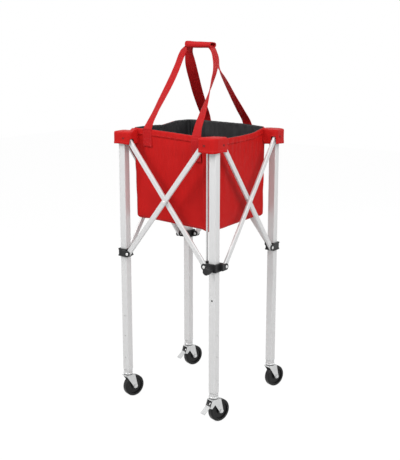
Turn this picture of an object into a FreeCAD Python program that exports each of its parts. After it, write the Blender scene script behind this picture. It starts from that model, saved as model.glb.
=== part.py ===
import FreeCAD, Part
import math
import os
import re

import Sketcher
from FreeCAD import Placement, Rotation, Vector

# Folding four-legged cart with a soft bag hung on its leg tops.
# Millimetres, +Z up, floor at Z = 0, origin under the middle of the frame.
# Each corner is drawn once, seen from its leg axis: "in" runs along a side towards the next leg,
# "out" points away from the cart. The four corners are that one turned by quarter turns.

doc = FreeCAD.newDocument("BallCart")
sheet = doc.addObject("Spreadsheet::Sheet", "Sizes")

driving = [
    ("leg_spread", 360, "leg centre to leg centre, opened"),
    ("folded_spread", 110, "leg centre to leg centre, folded"),
    ("plug_shoulder", 12, "swivel race to the open end of the tube"),
    ("bracket_seat", 28, "length of the tube's top end inside its bracket"),
    ("tube_size", 25, "square leg tube"),
    ("tube_wall", 1.5, "leg tube wall"),
    ("tube_corner", 2, "outer corner radius of the leg tube"),
    ("sight_hole", 3.6, "diameter of the small holes in a leg"),
    ("low_hole", 147, "floor to the hole that holds the plug"),
    ("mid_hole", 226, "floor to the middle small hole"),
    ("high_hole", 298, "floor to the upper small hole"),
    ("pin_hole", 6.4, "diameter of the hole that the lock pin faces"),
    ("bracket_base", 893, "floor to the foot of a top bracket"),
    ("bracket_wall", 3, "wall of the top bracket round the tube"),
    ("bracket_cap", 4, "thickness of the top bracket over the tube"),
    ("slide_gap", 0.3, "slider bore to leg tube, each side"),
    ("slider_wall", 4.6, "wall of the slider round the tube"),
    ("slider_height", 26, "height of the slider's sleeve"),
    ("slider_band", 4.5, "height of the slider's raised rims"),
    ("band_depth", 1.2, "how far the raised rims stand out"),
    ("soft_edge", 2, "rounding of moulded edges"),
    ("pivot_drop", 16, "top end of the tube down to the upper brace pivots"),
    ("slide_pivot", 522, "floor to the lower brace pivots, opened"),
    ("pivot_offset", 15.5, "face of the tube to a brace pivot"),
    ("ear_edge", 2, "edge of a brace to the rounding of its ear"),
    ("cheek", 3, "thickness of one cheek of an ear"),
    ("cheek_gap", 0.3, "cheek to brace, each side"),
    ("inner_plane", 10, "leg axis out to the middle of the inner brace"),
    ("brace_width", 17, "width of a brace tube"),
    ("brace_depth", 9, "depth of a brace tube"),
    ("brace_wall", 1.2, "wall of a brace tube"),
    ("brace_corner", 2.4, "outer corner radius of a brace tube"),
    ("brace_gap", 1.5, "between crossing braces"),
    ("rivet_size", 5, "shank diameter of the pivot rivets"),
    ("rivet_head", 10, "head diameter of the pivot rivets"),
    ("head_height", 1.7, "height of a rivet head"),
    ("head_round", 1.2, "rounding of a rivet head"),
    ("rivet_play", 0.05, "rivet shank to its hole, radial"),
    ("washer_size", 15, "washer between crossing braces"),
    ("washer_play", 0.2, "washer to the brace that turns on it"),
    ("rod_size", 7, "diameter of the stop rod"),
    ("rod_offset", 14.5, "face of the tube to the middle of the stop rod"),
    ("rod_seat", 7, "depth of the stop rod's end in its socket"),
    ("rod_grip", 14, "depth of the stop rod's top end in the bracket"),
    ("rod_play", 0.3, "stop rod to its socket, radial"),
    ("socket_wall", 1.4, "wall of the stop rod's sockets"),
    ("socket_rise", 4, "how far the socket stands over the slider"),
    ("pin_drop", 5, "lower brace pivots down to the lock pin"),
    ("boss_size", 19, "diameter of the lock pin's boss"),
    ("boss_height", 13, "how far the boss stands out"),
    ("pin_size", 6, "diameter of the lock pin"),
    ("pin_play", 0.08, "lock pin to its bore, radial"),
    ("nose_gap", 0.4, "lock pin nose to leg tube"),
    ("knob_size", 23.5, "diameter of the pull knob"),
    ("knob_height", 18, "height of the pull knob"),
    ("knob_gap", 0.4, "pull knob to its boss"),
    ("knob_edge", 2.4, "rounding of the pull knob"),
    ("knob_grooves", 12, "finger grooves round the pull knob"),
    ("groove_size", 3, "diameter of a finger groove"),
    ("wheel_size", 75, "wheel diameter"),
    ("wheel_width", 22, "tread width"),
    ("tread_edge", 5, "rounding of the tread"),
    ("hub_size", 24, "hub diameter"),
    ("hub_gap", 0.3, "hub to a fork arm"),
    ("tread_depth", 10, "depth of the tread"),
    ("rim_depth", 4, "depth of the dish between hub and tread"),
    ("axle_size", 8, "axle diameter"),
    ("axle_play", 0.06, "axle to wheel bore, radial"),
    ("axle_head", 13, "across corners of the axle head and nut"),
    ("axle_head_height", 3.4, "height of the axle head and nut"),
    ("trail", 21, "swivel axis to axle"),
    ("trail_angle", 73, "direction of the trail from +X, degrees"),
    ("plug_gap", 0.1, "plug to the inside of the tube, each side"),
    ("plug_depth", 52, "how far the plug enters the tube"),
    ("race_size", 33, "diameter of the swivel race"),
    ("race_height", 5.5, "height of the fixed race"),
    ("race_edge", 1.6, "rounding of the fixed race"),
    ("race_gap", 0.5, "fixed race to turning crown"),
    ("crown_size", 31, "diameter of the turning crown"),
    ("wheel_room", 3, "wheel to the underside of the crown"),
    ("crown_height", 7, "height of the turning crown"),
    ("king_size", 10, "kingpin diameter"),
    ("king_head", 15, "kingpin head diameter"),
    ("king_head_height", 2.3, "kingpin head height"),
    ("fork_gap", 1, "fork arm to tread"),
    ("fork_plate", 2.5, "thickness of a fork arm"),
    ("fork_end", 8, "radius of the fork's end round the axle"),
    ("lug_root", 0.62, "share of an arm's front edge below the lug that holds the brake"),
    ("brake_room", 7.5, "wheel to the middle of the brake's pin"),
    ("brake_lean", 0.9, "share of the pin's distance from the axle that lies ahead of it"),
    ("brake_pin", 4, "diameter of the brake's pin"),
    ("brake_hub", 8, "diameter of the pedal's hub"),
    ("brake_side", 2, "pedal to a fork arm"),
    ("brake_plate", 2.4, "thickness of the pedal"),
    ("brake_length", 25, "length of the pedal ahead of its pin"),
    ("brake_drop", 18, "how far the pedal slopes down"),
    ("brake_shoe", 7, "length of the shoe behind the pin"),
    ("bag_clear", 6, "top bracket to a wall of the bag"),
    ("bag_depth", 292, "height of the bag"),
    ("bag_rise", 5, "top of a bracket to the bag's rim"),
    ("bag_cloth", 2, "thickness of the bag's walls"),
    ("bag_gap", 0.3, "between cloth pieces that move apart"),
    ("pocket_room", 0.5, "rivet heads to the inside of a pocket"),
    ("pocket_play", 2.5, "pivot ear to the inner end of a pocket"),
    ("pocket_drop", 9, "how far a pocket hangs below its bracket"),
    ("pocket_edge", 9, "rounding of a pocket's upright edges"),
    ("slot_rise", 6, "pivot up to the top of a pocket's slot for the brace"),
    ("slot_side", 2.5, "brace to the edge of the slot"),
    ("strap_width", 38, "width of the webbing"),
    ("strap_cloth", 2.4, "thickness of the webbing"),
    ("strap_inset", 63.5, "corner of the bag to the middle of a strap"),
    ("strap_sewn", 65, "length of webbing sewn below the rim"),
    ("grip_rise", 273, "bag's rim to the middle of the grip"),
    ("grip_length", 102, "length of the grip"),
    ("grip_depth", 36, "depth of the grip"),
    ("grip_height", 16, "height of the grip"),
    ("grip_edge", 7, "rounding of the grip"),
    ("grip_gap", 0.3, "webbing to the underside of the grip"),
    ("strap_tuck", 4, "end of the grip to the middle of a strap's top end"),
    ("overrun", 3, "how far a cut runs past what it cuts"),
]
for row, (alias, number, note) in enumerate(driving, 1):
    sheet.set(f"A{row}", note)
    sheet.set(f"B{row}", str(number))
    sheet.setAlias(f"B{row}", alias)
doc.recompute()

# Levels and reaches that follow from the sizes
levels = doc.addObject("App::VarSet", "Levels")
following = [
    ("crown_base", "wheel_size + wheel_room"),
    ("race_foot", "crown_base + crown_height + race_gap"),
    ("race_top", "race_foot + race_height"),
    ("leg_bottom", "race_top + plug_shoulder"),
    ("leg_top", "bracket_base + bracket_seat"),
    ("top_pivot", "leg_top - pivot_drop"),
    ("pivot_reach", "tube_size / 2 + pivot_offset"),
    ("rod_reach", "tube_size / 2 + rod_offset"),
    ("ear_radius", "brace_width / 2 + ear_edge"),
    ("outer_plane", "inner_plane + brace_depth + brace_gap"),
    ("bracket_half", "tube_size / 2 + bracket_wall"),
    ("slider_half", "tube_size / 2 + slide_gap + slider_wall"),
    ("slider_foot", "slide_pivot - slider_height / 2"),
    ("slider_head", "slide_pivot + slider_height / 2"),
    ("pin_level", "slide_pivot - pin_drop"),
    ("hub_width", "wheel_width + 2 * fork_gap - 2 * hub_gap"),
    ("rim_size", "wheel_size - 2 * tread_depth"),
    ("brake_width", "wheel_width + 2 * fork_gap - 2 * brake_side"),
    ("brake_arm", "wheel_size / 2 + brake_room"),
    ("brake_reach", "brake_arm * brake_lean - trail"),
    ("brake_level", "wheel_size / 2 + brake_arm * sqrt(1 - brake_lean ^ 2)"),
    ("bag_face", "bracket_half + bag_clear"),
    ("bag_half", "leg_spread / 2 - bag_face"),
    ("bag_rim", "leg_top + bracket_cap + bag_rise"),
    ("bag_bottom", "bag_rim - bag_depth"),
    ("ear_out", "brace_depth / 2 + cheek_gap + cheek + head_height + pocket_room"),
    ("pocket_out", "outer_plane + ear_out + bag_cloth"),
    ("pocket_side", "inner_plane + ear_out + bag_cloth"),
    ("pocket_in", "pivot_reach + ear_radius + pocket_play + bag_cloth"),
    ("pocket_foot", "bracket_base - pocket_drop"),
    ("slot_top", "top_pivot + slot_rise"),
    ("strap_middle", "bag_half - strap_inset"),
    ("strap_top", "grip_length / 2 - strap_tuck"),
    ("grip_level", "bag_rim + grip_rise"),
]
home = {alias: "Sizes." for alias, number, note in driving}
home.update({alias: "Levels." for alias, text in following})


def bound(text):
    """An expression of the document, from one that names only sizes and levels."""
    return re.sub(r"[a-z_]+", lambda word: home.get(word[0], "") + word[0], text)


for alias, text in following:
    levels.addProperty("App::PropertyFloat", alias)
    levels.setExpression(alias, bound(text))
doc.recompute()


def size(alias):
    """A size or a level as a number."""
    return float(sheet.get(alias)) if home[alias] == "Sizes." else getattr(levels, alias)


hole_play = "(rivet_size / 2 + rivet_play)"
brace_run = size("leg_spread") - 2 * size("pivot_reach")
brace_rise = size("top_pivot") - size("slide_pivot")
brace_length = math.hypot(brace_run, brace_rise)
brace_angle = math.degrees(math.atan2(brace_run, brace_rise))
folded_run = size("folded_spread") - 2 * size("pivot_reach")
folded_angle = math.degrees(math.asin(folded_run / brace_length))
slide_travel = math.sqrt(brace_length**2 - folded_run**2) - brace_rise

corners = ("front", "right", "back", "left")
sides = ("front_left", "front_right", "back_right", "back_left")
corner_signs = ((1, -1), (1, 1), (-1, 1), (-1, -1))
braked = ("front", "back")

made = []


# Primitives and joints of solids, with sizes bound to the sheet


def bind(piece, **sizes):
    for prop, text in sizes.items():
        piece.setExpression(prop, bound(text))
    return piece


def at(piece, x="0", y="0", z="0"):
    for axis, text in zip("xyz", (x, y, z)):
        piece.setExpression(f"Placement.Base.{axis}", bound(text))
    return piece


def span_box(x, y, z):
    """A box between pairs of expressions."""
    box = doc.addObject("Part::Box", "Block")
    lengths = [f"({high}) - ({low})" for low, high in (x, y, z)]
    bind(box, Length=lengths[0], Width=lengths[1], Height=lengths[2])
    return at(box, x[0], y[0], z[0])


turned = {
    "X": Rotation(Vector(0, 1, 0), 90),
    "Y": Rotation(Vector(1, 0, 0), -90),
    "Z": Rotation(),
}


def rod(axis, radius, start, end, x="0", y="0", z="0"):
    """A cylinder along an axis, from start to end on it."""
    piece = doc.addObject("Part::Cylinder", "Rod")
    bind(piece, Radius=radius, Height=f"({end}) - ({start})")
    piece.Placement = Placement(Vector(), turned[axis])
    place = dict(x=x, y=y, z=z)
    place[axis.lower()] = start
    return at(piece, **place)


def join(pieces):
    if len(pieces) == 1:
        return pieces[0]
    piece = doc.addObject("Part::MultiFuse", "Joined")
    piece.Shapes = pieces
    piece.Refine = True
    return piece


def cut(base, tools):
    piece = doc.addObject("Part::Cut", "Cut")
    piece.Base = base
    piece.Tool = join(tools)
    piece.Refine = True
    return piece


def overlap(pieces):
    piece = doc.addObject("Part::MultiCommon", "Shared")
    piece.Shapes = pieces
    return piece


def rounded(base, radius, wanted):
    """Rounds the straight or round edges that the test picks."""
    doc.recompute()
    edges = [n for n, edge in enumerate(base.Shape.Edges, 1) if wanted(edge)]
    piece = doc.addObject("Part::Fillet", "Rounded")
    piece.Base = base
    piece.Edges = [(n, radius, radius) for n in edges]
    return piece


def runs_along(edge, axis):
    if not isinstance(edge.Curve, Part.Line):
        return False
    return abs(abs(edge.Curve.Direction.dot(axis)) - 1) < 1e-6


def solid(label, shape):
    """A piece whose form no primitive gives."""
    piece = doc.addObject("Part::Feature", label)
    piece.Shape = shape
    return piece


def keep(piece, label, quarter=None):
    """Names a finished piece and turns it to its corner."""
    piece.Label = label
    if quarter is not None:
        sign_x, sign_y = corner_signs[quarter]
        piece.Placement = Placement(Vector(), Rotation(Vector(0, 0, 1), 90 * quarter))
        at(piece, f"{sign_x} * leg_spread / 2", f"{sign_y} * leg_spread / 2")
    made.append(piece)
    return piece


def side_box(side, along, out, z):
    """A box beside the leg: side a runs along -X and faces -Y, side b along +Y and faces +X."""
    if side == "a":
        x = (f"-({along[1]})", f"-({along[0]})")
        y = (f"-({out[1]})", f"-({out[0]})")
        return span_box(x, y, z)
    return span_box(out, along, z)


def side_rod(side, radius, along, out, z):
    """A cylinder that points out of a side, from out[0] to out[1]."""
    if side == "a":
        return rod("Y", radius, f"-({out[1]})", f"-({out[0]})", x=f"-({along})", z=z)
    return rod("X", radius, out[0], out[1], y=along, z=z)


# Legs


def rectangle(body, name, plane, width, height):
    """A sketch of a rectangle about the origin, sized by the sheet."""
    sketch = body.newObject("Sketcher::SketchObject", name)
    flat = [f for f in body.Origin.OriginFeatures if f.Role == plane][0]
    sketch.AttachmentSupport = [(flat, "")]
    sketch.MapMode = "FlatFace"
    half = size("tube_size") / 2
    points = [Vector(x * half, y * half) for x, y in ((-1, -1), (1, -1), (1, 1), (-1, 1))]
    for n in range(4):
        sketch.addGeometry(Part.LineSegment(points[n], points[(n + 1) % 4]))
    for n in range(4):
        sketch.addConstraint(Sketcher.Constraint("Coincident", n, 2, (n + 1) % 4, 1))
        sketch.addConstraint(Sketcher.Constraint(("Horizontal", "Vertical")[n % 2], n))
    sketch.addConstraint(Sketcher.Constraint("Symmetric", 0, 1, 2, 1, -1, 1))
    wide = sketch.addConstraint(Sketcher.Constraint("DistanceX", 0, 1, 0, 2, 2 * half))
    tall = sketch.addConstraint(Sketcher.Constraint("DistanceY", 1, 1, 1, 2, 2 * half))
    sketch.setExpression(f"Constraints[{wide}]", bound(width))
    sketch.setExpression(f"Constraints[{tall}]", bound(height))
    return sketch


def leg_tube():
    """The square tube from its lower end up, about its own axis."""
    body = doc.addObject("PartDesign::Body", "Tube")
    pad = body.newObject("PartDesign::Pad", "Extrusion")
    pad.Profile = rectangle(body, "Outside", "XY_Plane", "tube_size", "tube_size")
    pad.setExpression("Length", bound("leg_top - leg_bottom"))
    doc.recompute()
    upright = [
        f"Edge{n}"
        for n, edge in enumerate(pad.Shape.Edges, 1)
        if runs_along(edge, Vector(0, 0, 1))
    ]
    fillet = body.newObject("PartDesign::Fillet", "Corners")
    fillet.Base = (pad, upright)
    fillet.setExpression("Radius", bound("tube_corner"))
    bore = body.newObject("PartDesign::Pocket", "Bore")
    inside = "tube_size - 2 * tube_wall"
    bore.Profile = rectangle(body, "Inside", "XY_Plane", inside, inside)
    bore.Type = "ThroughAll"
    bore.Midplane = True
    at(body, z="leg_bottom")
    return body


def leg(quarter):
    wall = ("tube_size / 2 - tube_wall - overrun", "tube_size / 2 + overrun")
    holes = [
        side_rod("b", "sight_hole / 2", "0", wall, level)
        for level in ("low_hole", "mid_hole", "high_hole")
    ]
    if corners[quarter] == "front":
        holes.append(side_rod("a", "pin_hole / 2", "0", wall, "pin_level"))
        folded = rod("Y", "pin_hole / 2", f"-({wall[1]})", f"-({wall[0]})")
        at(folded, "0", f"-({wall[1]})", f"pin_level - {slide_travel}")
        holes.append(folded)
    keep(cut(leg_tube(), holes), f"leg_{corners[quarter]}", quarter)


# Pivot ears: two cheeks with the brace's end between them


def ear(side, plane, level, root):
    """Cheeks on both sides of a brace plane, and the block that carries the outer one."""
    parts = []
    near = f"{plane} - brace_depth / 2 - cheek_gap"
    far = f"{plane} + brace_depth / 2 + cheek_gap"
    z = (f"{level} - ear_radius", f"{level} + ear_radius")
    for out in ((f"{near} - cheek", near), (far, f"{far} + cheek")):
        parts.append(side_box(side, (root, "pivot_reach"), out, z))
        parts.append(side_rod(side, "ear_radius", "pivot_reach", out, level))
    block_in = "pivot_reach - brace_width / 2 - brace_gap"
    parts.append(side_box(side, ("tube_size / 4", block_in), (near, f"{far} + cheek"), z))
    return parts


def ear_hole(side, plane, level):
    reach = f"{plane} + brace_depth / 2 + cheek_gap + cheek + overrun"
    return side_rod(side, hole_play, "pivot_reach", (f"{plane} - brace_depth", reach), level)


def brace_room(side, plane, level, up):
    """The room that a brace's end sweeps between the cheeks."""
    near = f"{plane} - brace_depth / 2 - cheek_gap"
    far = f"{plane} + brace_depth / 2 + cheek_gap"
    low, high = (f"{level}", f"{level} + ear_radius + overrun")
    if not up:
        low, high = (f"{level} - ear_radius - overrun", f"{level}")
    along = ("pivot_reach - brace_width / 2 - brace_gap", "pivot_reach + ear_radius + overrun")
    return [
        side_box(side, along, (near, far), (low, high)),
        side_rod(side, "brace_width / 2 + brace_gap", "pivot_reach", (near, far), level),
    ]


def headed_rivet(side, along, near, far, level):
    """A shank from near to far, with a round-edged head on each end."""
    out = {"a": Vector(0, -1, 0), "b": Vector(1, 0, 0)}[side]
    parts = [side_rod(side, "rivet_size / 2", along, (near, far), level)]
    for low, high, way in ((f"{near} - head_height", near, -1), (far, f"{far} + head_height", 1)):
        head = side_rod(side, "rivet_head / 2", along, (low, high), level)

        def on_top(edge):
            offset = edge.CenterOfMass - head.Shape.CenterOfMass
            return isinstance(edge.Curve, Part.Circle) and way * offset.dot(out) > 0

        parts.append(rounded(head, size("head_round"), on_top))
    return parts


def rivet(side, plane, level):
    """A rivet through an ear and the brace in it."""
    near = f"{plane} - brace_depth / 2 - cheek_gap - cheek"
    far = f"{plane} + brace_depth / 2 + cheek_gap + cheek"
    return headed_rivet(side, "pivot_reach", near, far, level)


def top_bracket(quarter):
    half = ("-bracket_half", "bracket_half")
    sleeve = span_box(half, half, ("bracket_base", "leg_top + bracket_cap"))
    upright = Vector(0, 0, 1)
    parts = [rounded(sleeve, size("soft_edge"), lambda edge: runs_along(edge, upright))]
    parts += ear("a", "outer_plane", "top_pivot", "tube_size / 2")
    parts += ear("b", "inner_plane", "top_pivot", "tube_size / 2")
    tube = ("-tube_size / 2", "tube_size / 2")
    tools = [span_box(tube, tube, ("bracket_base - overrun", "leg_top"))]
    tools += brace_room("a", "outer_plane", "top_pivot", False)
    tools += brace_room("b", "inner_plane", "top_pivot", False)
    tools.append(ear_hole("a", "outer_plane", "top_pivot"))
    tools.append(ear_hole("b", "inner_plane", "top_pivot"))
    if corners[quarter] == "front":
        socket = "rod_size / 2 + socket_wall"
        foot = "bracket_base"
        parts.append(rod("Z", socket, foot, f"{foot} + rod_grip + socket_wall", x="-rod_reach"))
        web = ("-rod_reach", "-tube_size / 2")
        parts.append(span_box(web, ("-socket_wall", "socket_wall"), (foot, f"{foot} + rod_grip")))
        tools.append(rod("Z", "rod_size / 2", f"{foot} - overrun", f"{foot} + rod_grip", x="-rod_reach"))
    keep(cut(join(parts), tools), f"top_bracket_{corners[quarter]}", quarter)


def top_rivets(quarter):
    group = doc.addObject("Part::Compound", "Rivets")
    group.Links = [
        join(rivet("a", "outer_plane", "top_pivot")),
        join(rivet("b", "inner_plane", "top_pivot")),
    ]
    keep(group, f"top_rivets_{corners[quarter]}", quarter)


def stop_rod():
    """Runs beside the front leg, from its bracket down to a socket on the slider."""
    low = "slider_head + socket_rise - rod_seat"
    piece = rod("Z", "rod_size / 2", low, "bracket_base + rod_grip", x="-rod_reach")
    keep(join([piece]), "stop_rod", 0)
    at(piece, "leg_spread / 2 - rod_reach", "-leg_spread / 2", low)


# Sliders


def slider(quarter):
    half = ("-slider_half", "slider_half")
    sleeve = span_box(half, half, ("slider_foot", "slider_head"))
    wide = ("-slider_half - band_depth", "slider_half + band_depth")
    bands = [
        span_box(wide, wide, ("slider_foot", "slider_foot + slider_band")),
        span_box(wide, wide, ("slider_head - slider_band", "slider_head")),
    ]
    core = rounded(
        join([sleeve] + bands),
        size("soft_edge"),
        lambda edge: runs_along(edge, Vector(0, 0, 1)),
    )
    parts = [core]
    parts += ear("a", "inner_plane", "slide_pivot", "tube_size / 2")
    parts += ear("b", "outer_plane", "slide_pivot", "tube_size / 2")
    bore = ("-tube_size / 2 - slide_gap", "tube_size / 2 + slide_gap")
    tools = [span_box(bore, bore, ("slider_foot - overrun", "slider_head + overrun"))]
    tools += brace_room("a", "inner_plane", "slide_pivot", True)
    tools += brace_room("b", "outer_plane", "slide_pivot", True)
    tools.append(ear_hole("a", "inner_plane", "slide_pivot"))
    tools.append(ear_hole("b", "outer_plane", "slide_pivot"))
    if corners[quarter] == "front":
        bore_out = ("slider_half - slider_wall - overrun", "slider_half + boss_height + overrun")
        boss_out = ("slider_half - slider_wall", "slider_half + boss_height")
        parts.append(side_rod("a", "boss_size / 2", "0", boss_out, "pin_level"))
        tools.append(side_rod("a", "pin_size / 2 + pin_play", "0", bore_out, "pin_level"))
        socket = "rod_size / 2 + rod_play + socket_wall"
        top = "slider_head + socket_rise"
        web = ("-rod_reach", "-tube_size / 2")
        low = "slider_head + socket_rise - rod_seat - socket_wall"
        parts.append(rod("Z", socket, low, top, x="-rod_reach"))
        parts.append(span_box(web, ("-socket_wall", "socket_wall"), (low, "slider_head")))
        seat = f"{top} - rod_seat - rod_play"
        tools.append(rod("Z", "rod_size / 2 + rod_play", seat, f"{top} + overrun", x="-rod_reach"))
    keep(cut(join(parts), tools), f"slider_{corners[quarter]}", quarter)


def slider_rivets(quarter):
    group = doc.addObject("Part::Compound", "Rivets")
    group.Links = [
        join(rivet("a", "inner_plane", "slide_pivot")),
        join(rivet("b", "outer_plane", "slide_pivot")),
    ]
    keep(group, f"slider_rivets_{corners[quarter]}", quarter)


def lock_knob():
    """A pull knob on a sprung pin, in the front slider's boss."""
    face = "slider_half + boss_height + knob_gap"
    end = f"{face} + knob_height"
    head = rounded(
        side_rod("a", "knob_size / 2", "0", (face, end), "pin_level"),
        size("knob_edge"),
        lambda edge: isinstance(edge.Curve, Part.Circle),
    )
    shaft_out = ("tube_size / 2 + nose_gap", f"{face} + overrun")
    shaft = side_rod("a", "pin_size / 2", "0", shaft_out, "pin_level")
    grooves = []
    count = int(size("knob_grooves"))
    for n in range(count):
        angle = 2 * math.pi * n / count
        along = f"knob_size / 2 * {math.cos(angle)}"
        z = f"pin_level + knob_size / 2 * {math.sin(angle)}"
        groove_out = (f"{face} - overrun", f"{end} + overrun")
        grooves.append(side_rod("a", "groove_size / 2", along, groove_out, z))
    keep(join([cut(head, grooves), shaft]), "lock_knob", 0)


# Braces


def brace(quarter, outer):
    """A flat-sided tube with rounded ends and three rivet holes, centred on its own middle."""
    half_length = f"{brace_length} / 2"
    full = f"{half_length} + brace_width / 2"
    z = (f"-({full})", full)
    tube = rounded(
        span_box(("-brace_width / 2", "brace_width / 2"), ("-brace_depth / 2", "brace_depth / 2"), z),
        size("brace_corner"),
        lambda edge: runs_along(edge, Vector(0, 0, 1)),
    )
    inside_x = ("-brace_width / 2 + brace_wall", "brace_width / 2 - brace_wall")
    inside_y = ("-brace_depth / 2 + brace_wall", "brace_depth / 2 - brace_wall")
    inside = span_box(inside_x, inside_y, (f"-({full}) - overrun", f"{full} + overrun"))
    depth = ("-brace_depth / 2 - overrun", "brace_depth / 2 + overrun")
    holes = [rod("Y", hole_play, *depth, z=level) for level in (f"-({half_length})", "0", half_length)]
    width = ("-brace_width / 2 - overrun", "brace_width / 2 + overrun")
    outline = join([
        span_box(width, depth, (f"-({half_length})", half_length)),
        rod("Y", "brace_width / 2", *depth, z=f"-({half_length})"),
        rod("Y", "brace_width / 2", *depth, z=half_length),
    ])
    kind = "outer" if outer else "inner"
    piece = overlap([cut(tube, [inside] + holes), outline])
    piece.Label = f"brace_{kind}_{sides[quarter]}"
    lean = brace_angle if outer else -brace_angle
    turn = Rotation(Vector(0, 0, 1), 90 * quarter)
    piece.Placement = Placement(Vector(), turn.multiply(Rotation(Vector(0, 1, 0), lean)))
    plane = "outer_plane" if outer else "inner_plane"
    out = turn.multVec(Vector(0, -1, 0))
    reach = f"(leg_spread / 2 + {plane})"
    at(piece, f"{round(out.x)} * {reach}", f"{round(out.y)} * {reach}", "(top_pivot + slide_pivot) / 2")
    made.append(piece)


def cross_rivet(quarter):
    """Joins a side's two braces where they cross, with a washer between them."""
    level = "(top_pivot + slide_pivot) / 2"
    near = "inner_plane - brace_depth / 2 - washer_play"
    far = "outer_plane + brace_depth / 2"
    along = "leg_spread / 2"
    inner_face = "inner_plane + brace_depth / 2 + washer_play"
    outer_face = "outer_plane - brace_depth / 2"
    washer = side_rod("a", "washer_size / 2", along, (inner_face, outer_face), level)
    parts = headed_rivet("a", along, near, far, level) + [washer]
    keep(join(parts), f"cross_rivet_{sides[quarter]}", quarter)


# Casters


def caster_stem(quarter):
    """A plug in the tube's end, the fixed race under it and the kingpin."""
    half = "(tube_size / 2 - tube_wall - plug_gap)"
    plug = span_box((f"-{half}", half), (f"-{half}", half), ("race_top", "leg_bottom + plug_depth"))
    race = rounded(
        rod("Z", "race_size / 2", "race_foot", "race_top"),
        size("race_edge"),
        lambda edge: isinstance(edge.Curve, Part.Circle),
    )
    parts = [
        plug,
        race,
        rod("Z", "king_size / 2", "crown_base - race_gap", "race_foot"),
        rod("Z", "king_head / 2", "crown_base - race_gap - king_head_height", "crown_base - race_gap"),
    ]
    keep(join(parts), f"caster_stem_{corners[quarter]}", quarter)


def swivelled(piece, label, quarter):
    """Places a caster piece drawn with its trail along +X."""
    sign_x, sign_y = corner_signs[quarter]
    piece.Label = label
    piece.Placement = Placement(Vector(), Rotation(Vector(0, 0, 1), size("trail_angle")))
    at(piece, f"{sign_x} * leg_spread / 2", f"{sign_y} * leg_spread / 2")
    made.append(piece)


def fork_cheek(braked_one):
    """The outline of a fork arm, seen from its side: X ahead of and behind the swivel axis, Z up."""
    axle = Vector(size("trail"), 0, size("wheel_size") / 2)
    end = size("fork_end")
    top = size("crown_base") + size("fork_plate")
    half = size("crown_size") / 2
    front = Vector(-half, 0, top)
    rear = Vector(half + end / 2, 0, top)
    back_low = axle + Vector(end, 0, 0)
    tip = axle + Vector(0, 0, -end)
    front_low = axle + Vector(-end, 0, 0)
    edges = [Part.LineSegment(front, rear), Part.LineSegment(rear, back_low)]
    edges.append(Part.Arc(back_low, tip, front_low))
    if braked_one:
        hinge = Vector(-size("brake_reach"), 0, size("brake_level"))
        hub = size("brake_hub") / 2
        nose_low = hinge + Vector(hub / 2, 0, -hub)
        lug_low = front_low + (front - front_low) * size("lug_root")
        edges.append(Part.LineSegment(front_low, lug_low))
        edges.append(Part.LineSegment(lug_low, nose_low))
        nose = hinge + Vector(-hub, 0, 0)
        edges.append(Part.LineSegment(nose_low, nose))
        edges.append(Part.LineSegment(nose, front))
    else:
        edges.append(Part.LineSegment(front_low, front))
    return Part.Face(Part.Wire([edge.toShape() for edge in edges]))


def caster_fork(quarter):
    inner = size("wheel_width") / 2 + size("fork_gap")
    plate = size("fork_plate")
    cheek_face = fork_cheek(corners[quarter] in braked)
    arms = []
    for start in (-inner - plate, inner):
        arm = cheek_face.copy()
        arm.translate(Vector(0, start, 0))
        arms.append(solid("Arm", arm.extrude(Vector(0, plate, 0))))
    span = ("-wheel_width / 2 - fork_gap - fork_plate", "wheel_width / 2 + fork_gap + fork_plate")
    crown_x = ("-crown_size / 2", "crown_size / 2")
    parts = arms + [
        span_box(crown_x, span, ("crown_base", "crown_base + fork_plate")),
        rod("Z", "crown_size / 2", "crown_base", "race_foot - race_gap"),
    ]
    tools = [
        rod("Z", "king_size / 2 + rivet_play", "crown_base - overrun", "race_top"),
        rod("Y", "axle_size / 2 + axle_play", f"{span[0]} - overrun", f"{span[1]} + overrun",
            x="trail", z="wheel_size / 2"),
    ]
    piece = cut(join(parts), tools)
    if corners[quarter] in braked:
        pin = rod("Y", "brake_pin / 2", span[0], span[1], x="-brake_reach", z="brake_level")
        piece = join([piece, pin])
    swivelled(piece, f"caster_fork_{corners[quarter]}", quarter)


def caster_axle(quarter):
    reach = "wheel_width / 2 + fork_gap + fork_plate"
    place = dict(x="trail", z="wheel_size / 2")
    shaft = rod("Y", "axle_size / 2", f"-({reach})", reach, **place)
    head = rod("Y", "axle_head / 2", reach, f"{reach} + axle_head_height", **place)
    nut = doc.addObject("Part::Prism", "Nut")
    nut.Polygon = 6
    bind(nut, Circumradius="axle_head / 2", Height="axle_head_height")
    nut.Placement = Placement(Vector(), turned["Y"])
    at(nut, "trail", f"-({reach}) - axle_head_height", "wheel_size / 2")
    swivelled(join([shaft, head, nut]), f"caster_axle_{corners[quarter]}", quarter)


def wheel(quarter):
    place = dict(x="trail", z="wheel_size / 2")
    tread = rounded(
        rod("Y", "wheel_size / 2", "-wheel_width / 2", "wheel_width / 2", **place),
        size("tread_edge"),
        lambda edge: isinstance(edge.Curve, Part.Circle),
    )
    dishes = [
        rod("Y", "rim_size / 2", "-wheel_width / 2 - overrun", "-wheel_width / 2 + rim_depth", **place),
        rod("Y", "rim_size / 2", "wheel_width / 2 - rim_depth", "wheel_width / 2 + overrun", **place),
    ]
    hub = rod("Y", "hub_size / 2", "-hub_width / 2", "hub_width / 2", **place)
    bore = rod("Y", "axle_size / 2 + axle_play", "-wheel_width", "wheel_width", **place)
    swivelled(cut(join([cut(tread, dishes), hub]), [bore]), f"wheel_{corners[quarter]}", quarter)


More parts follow.
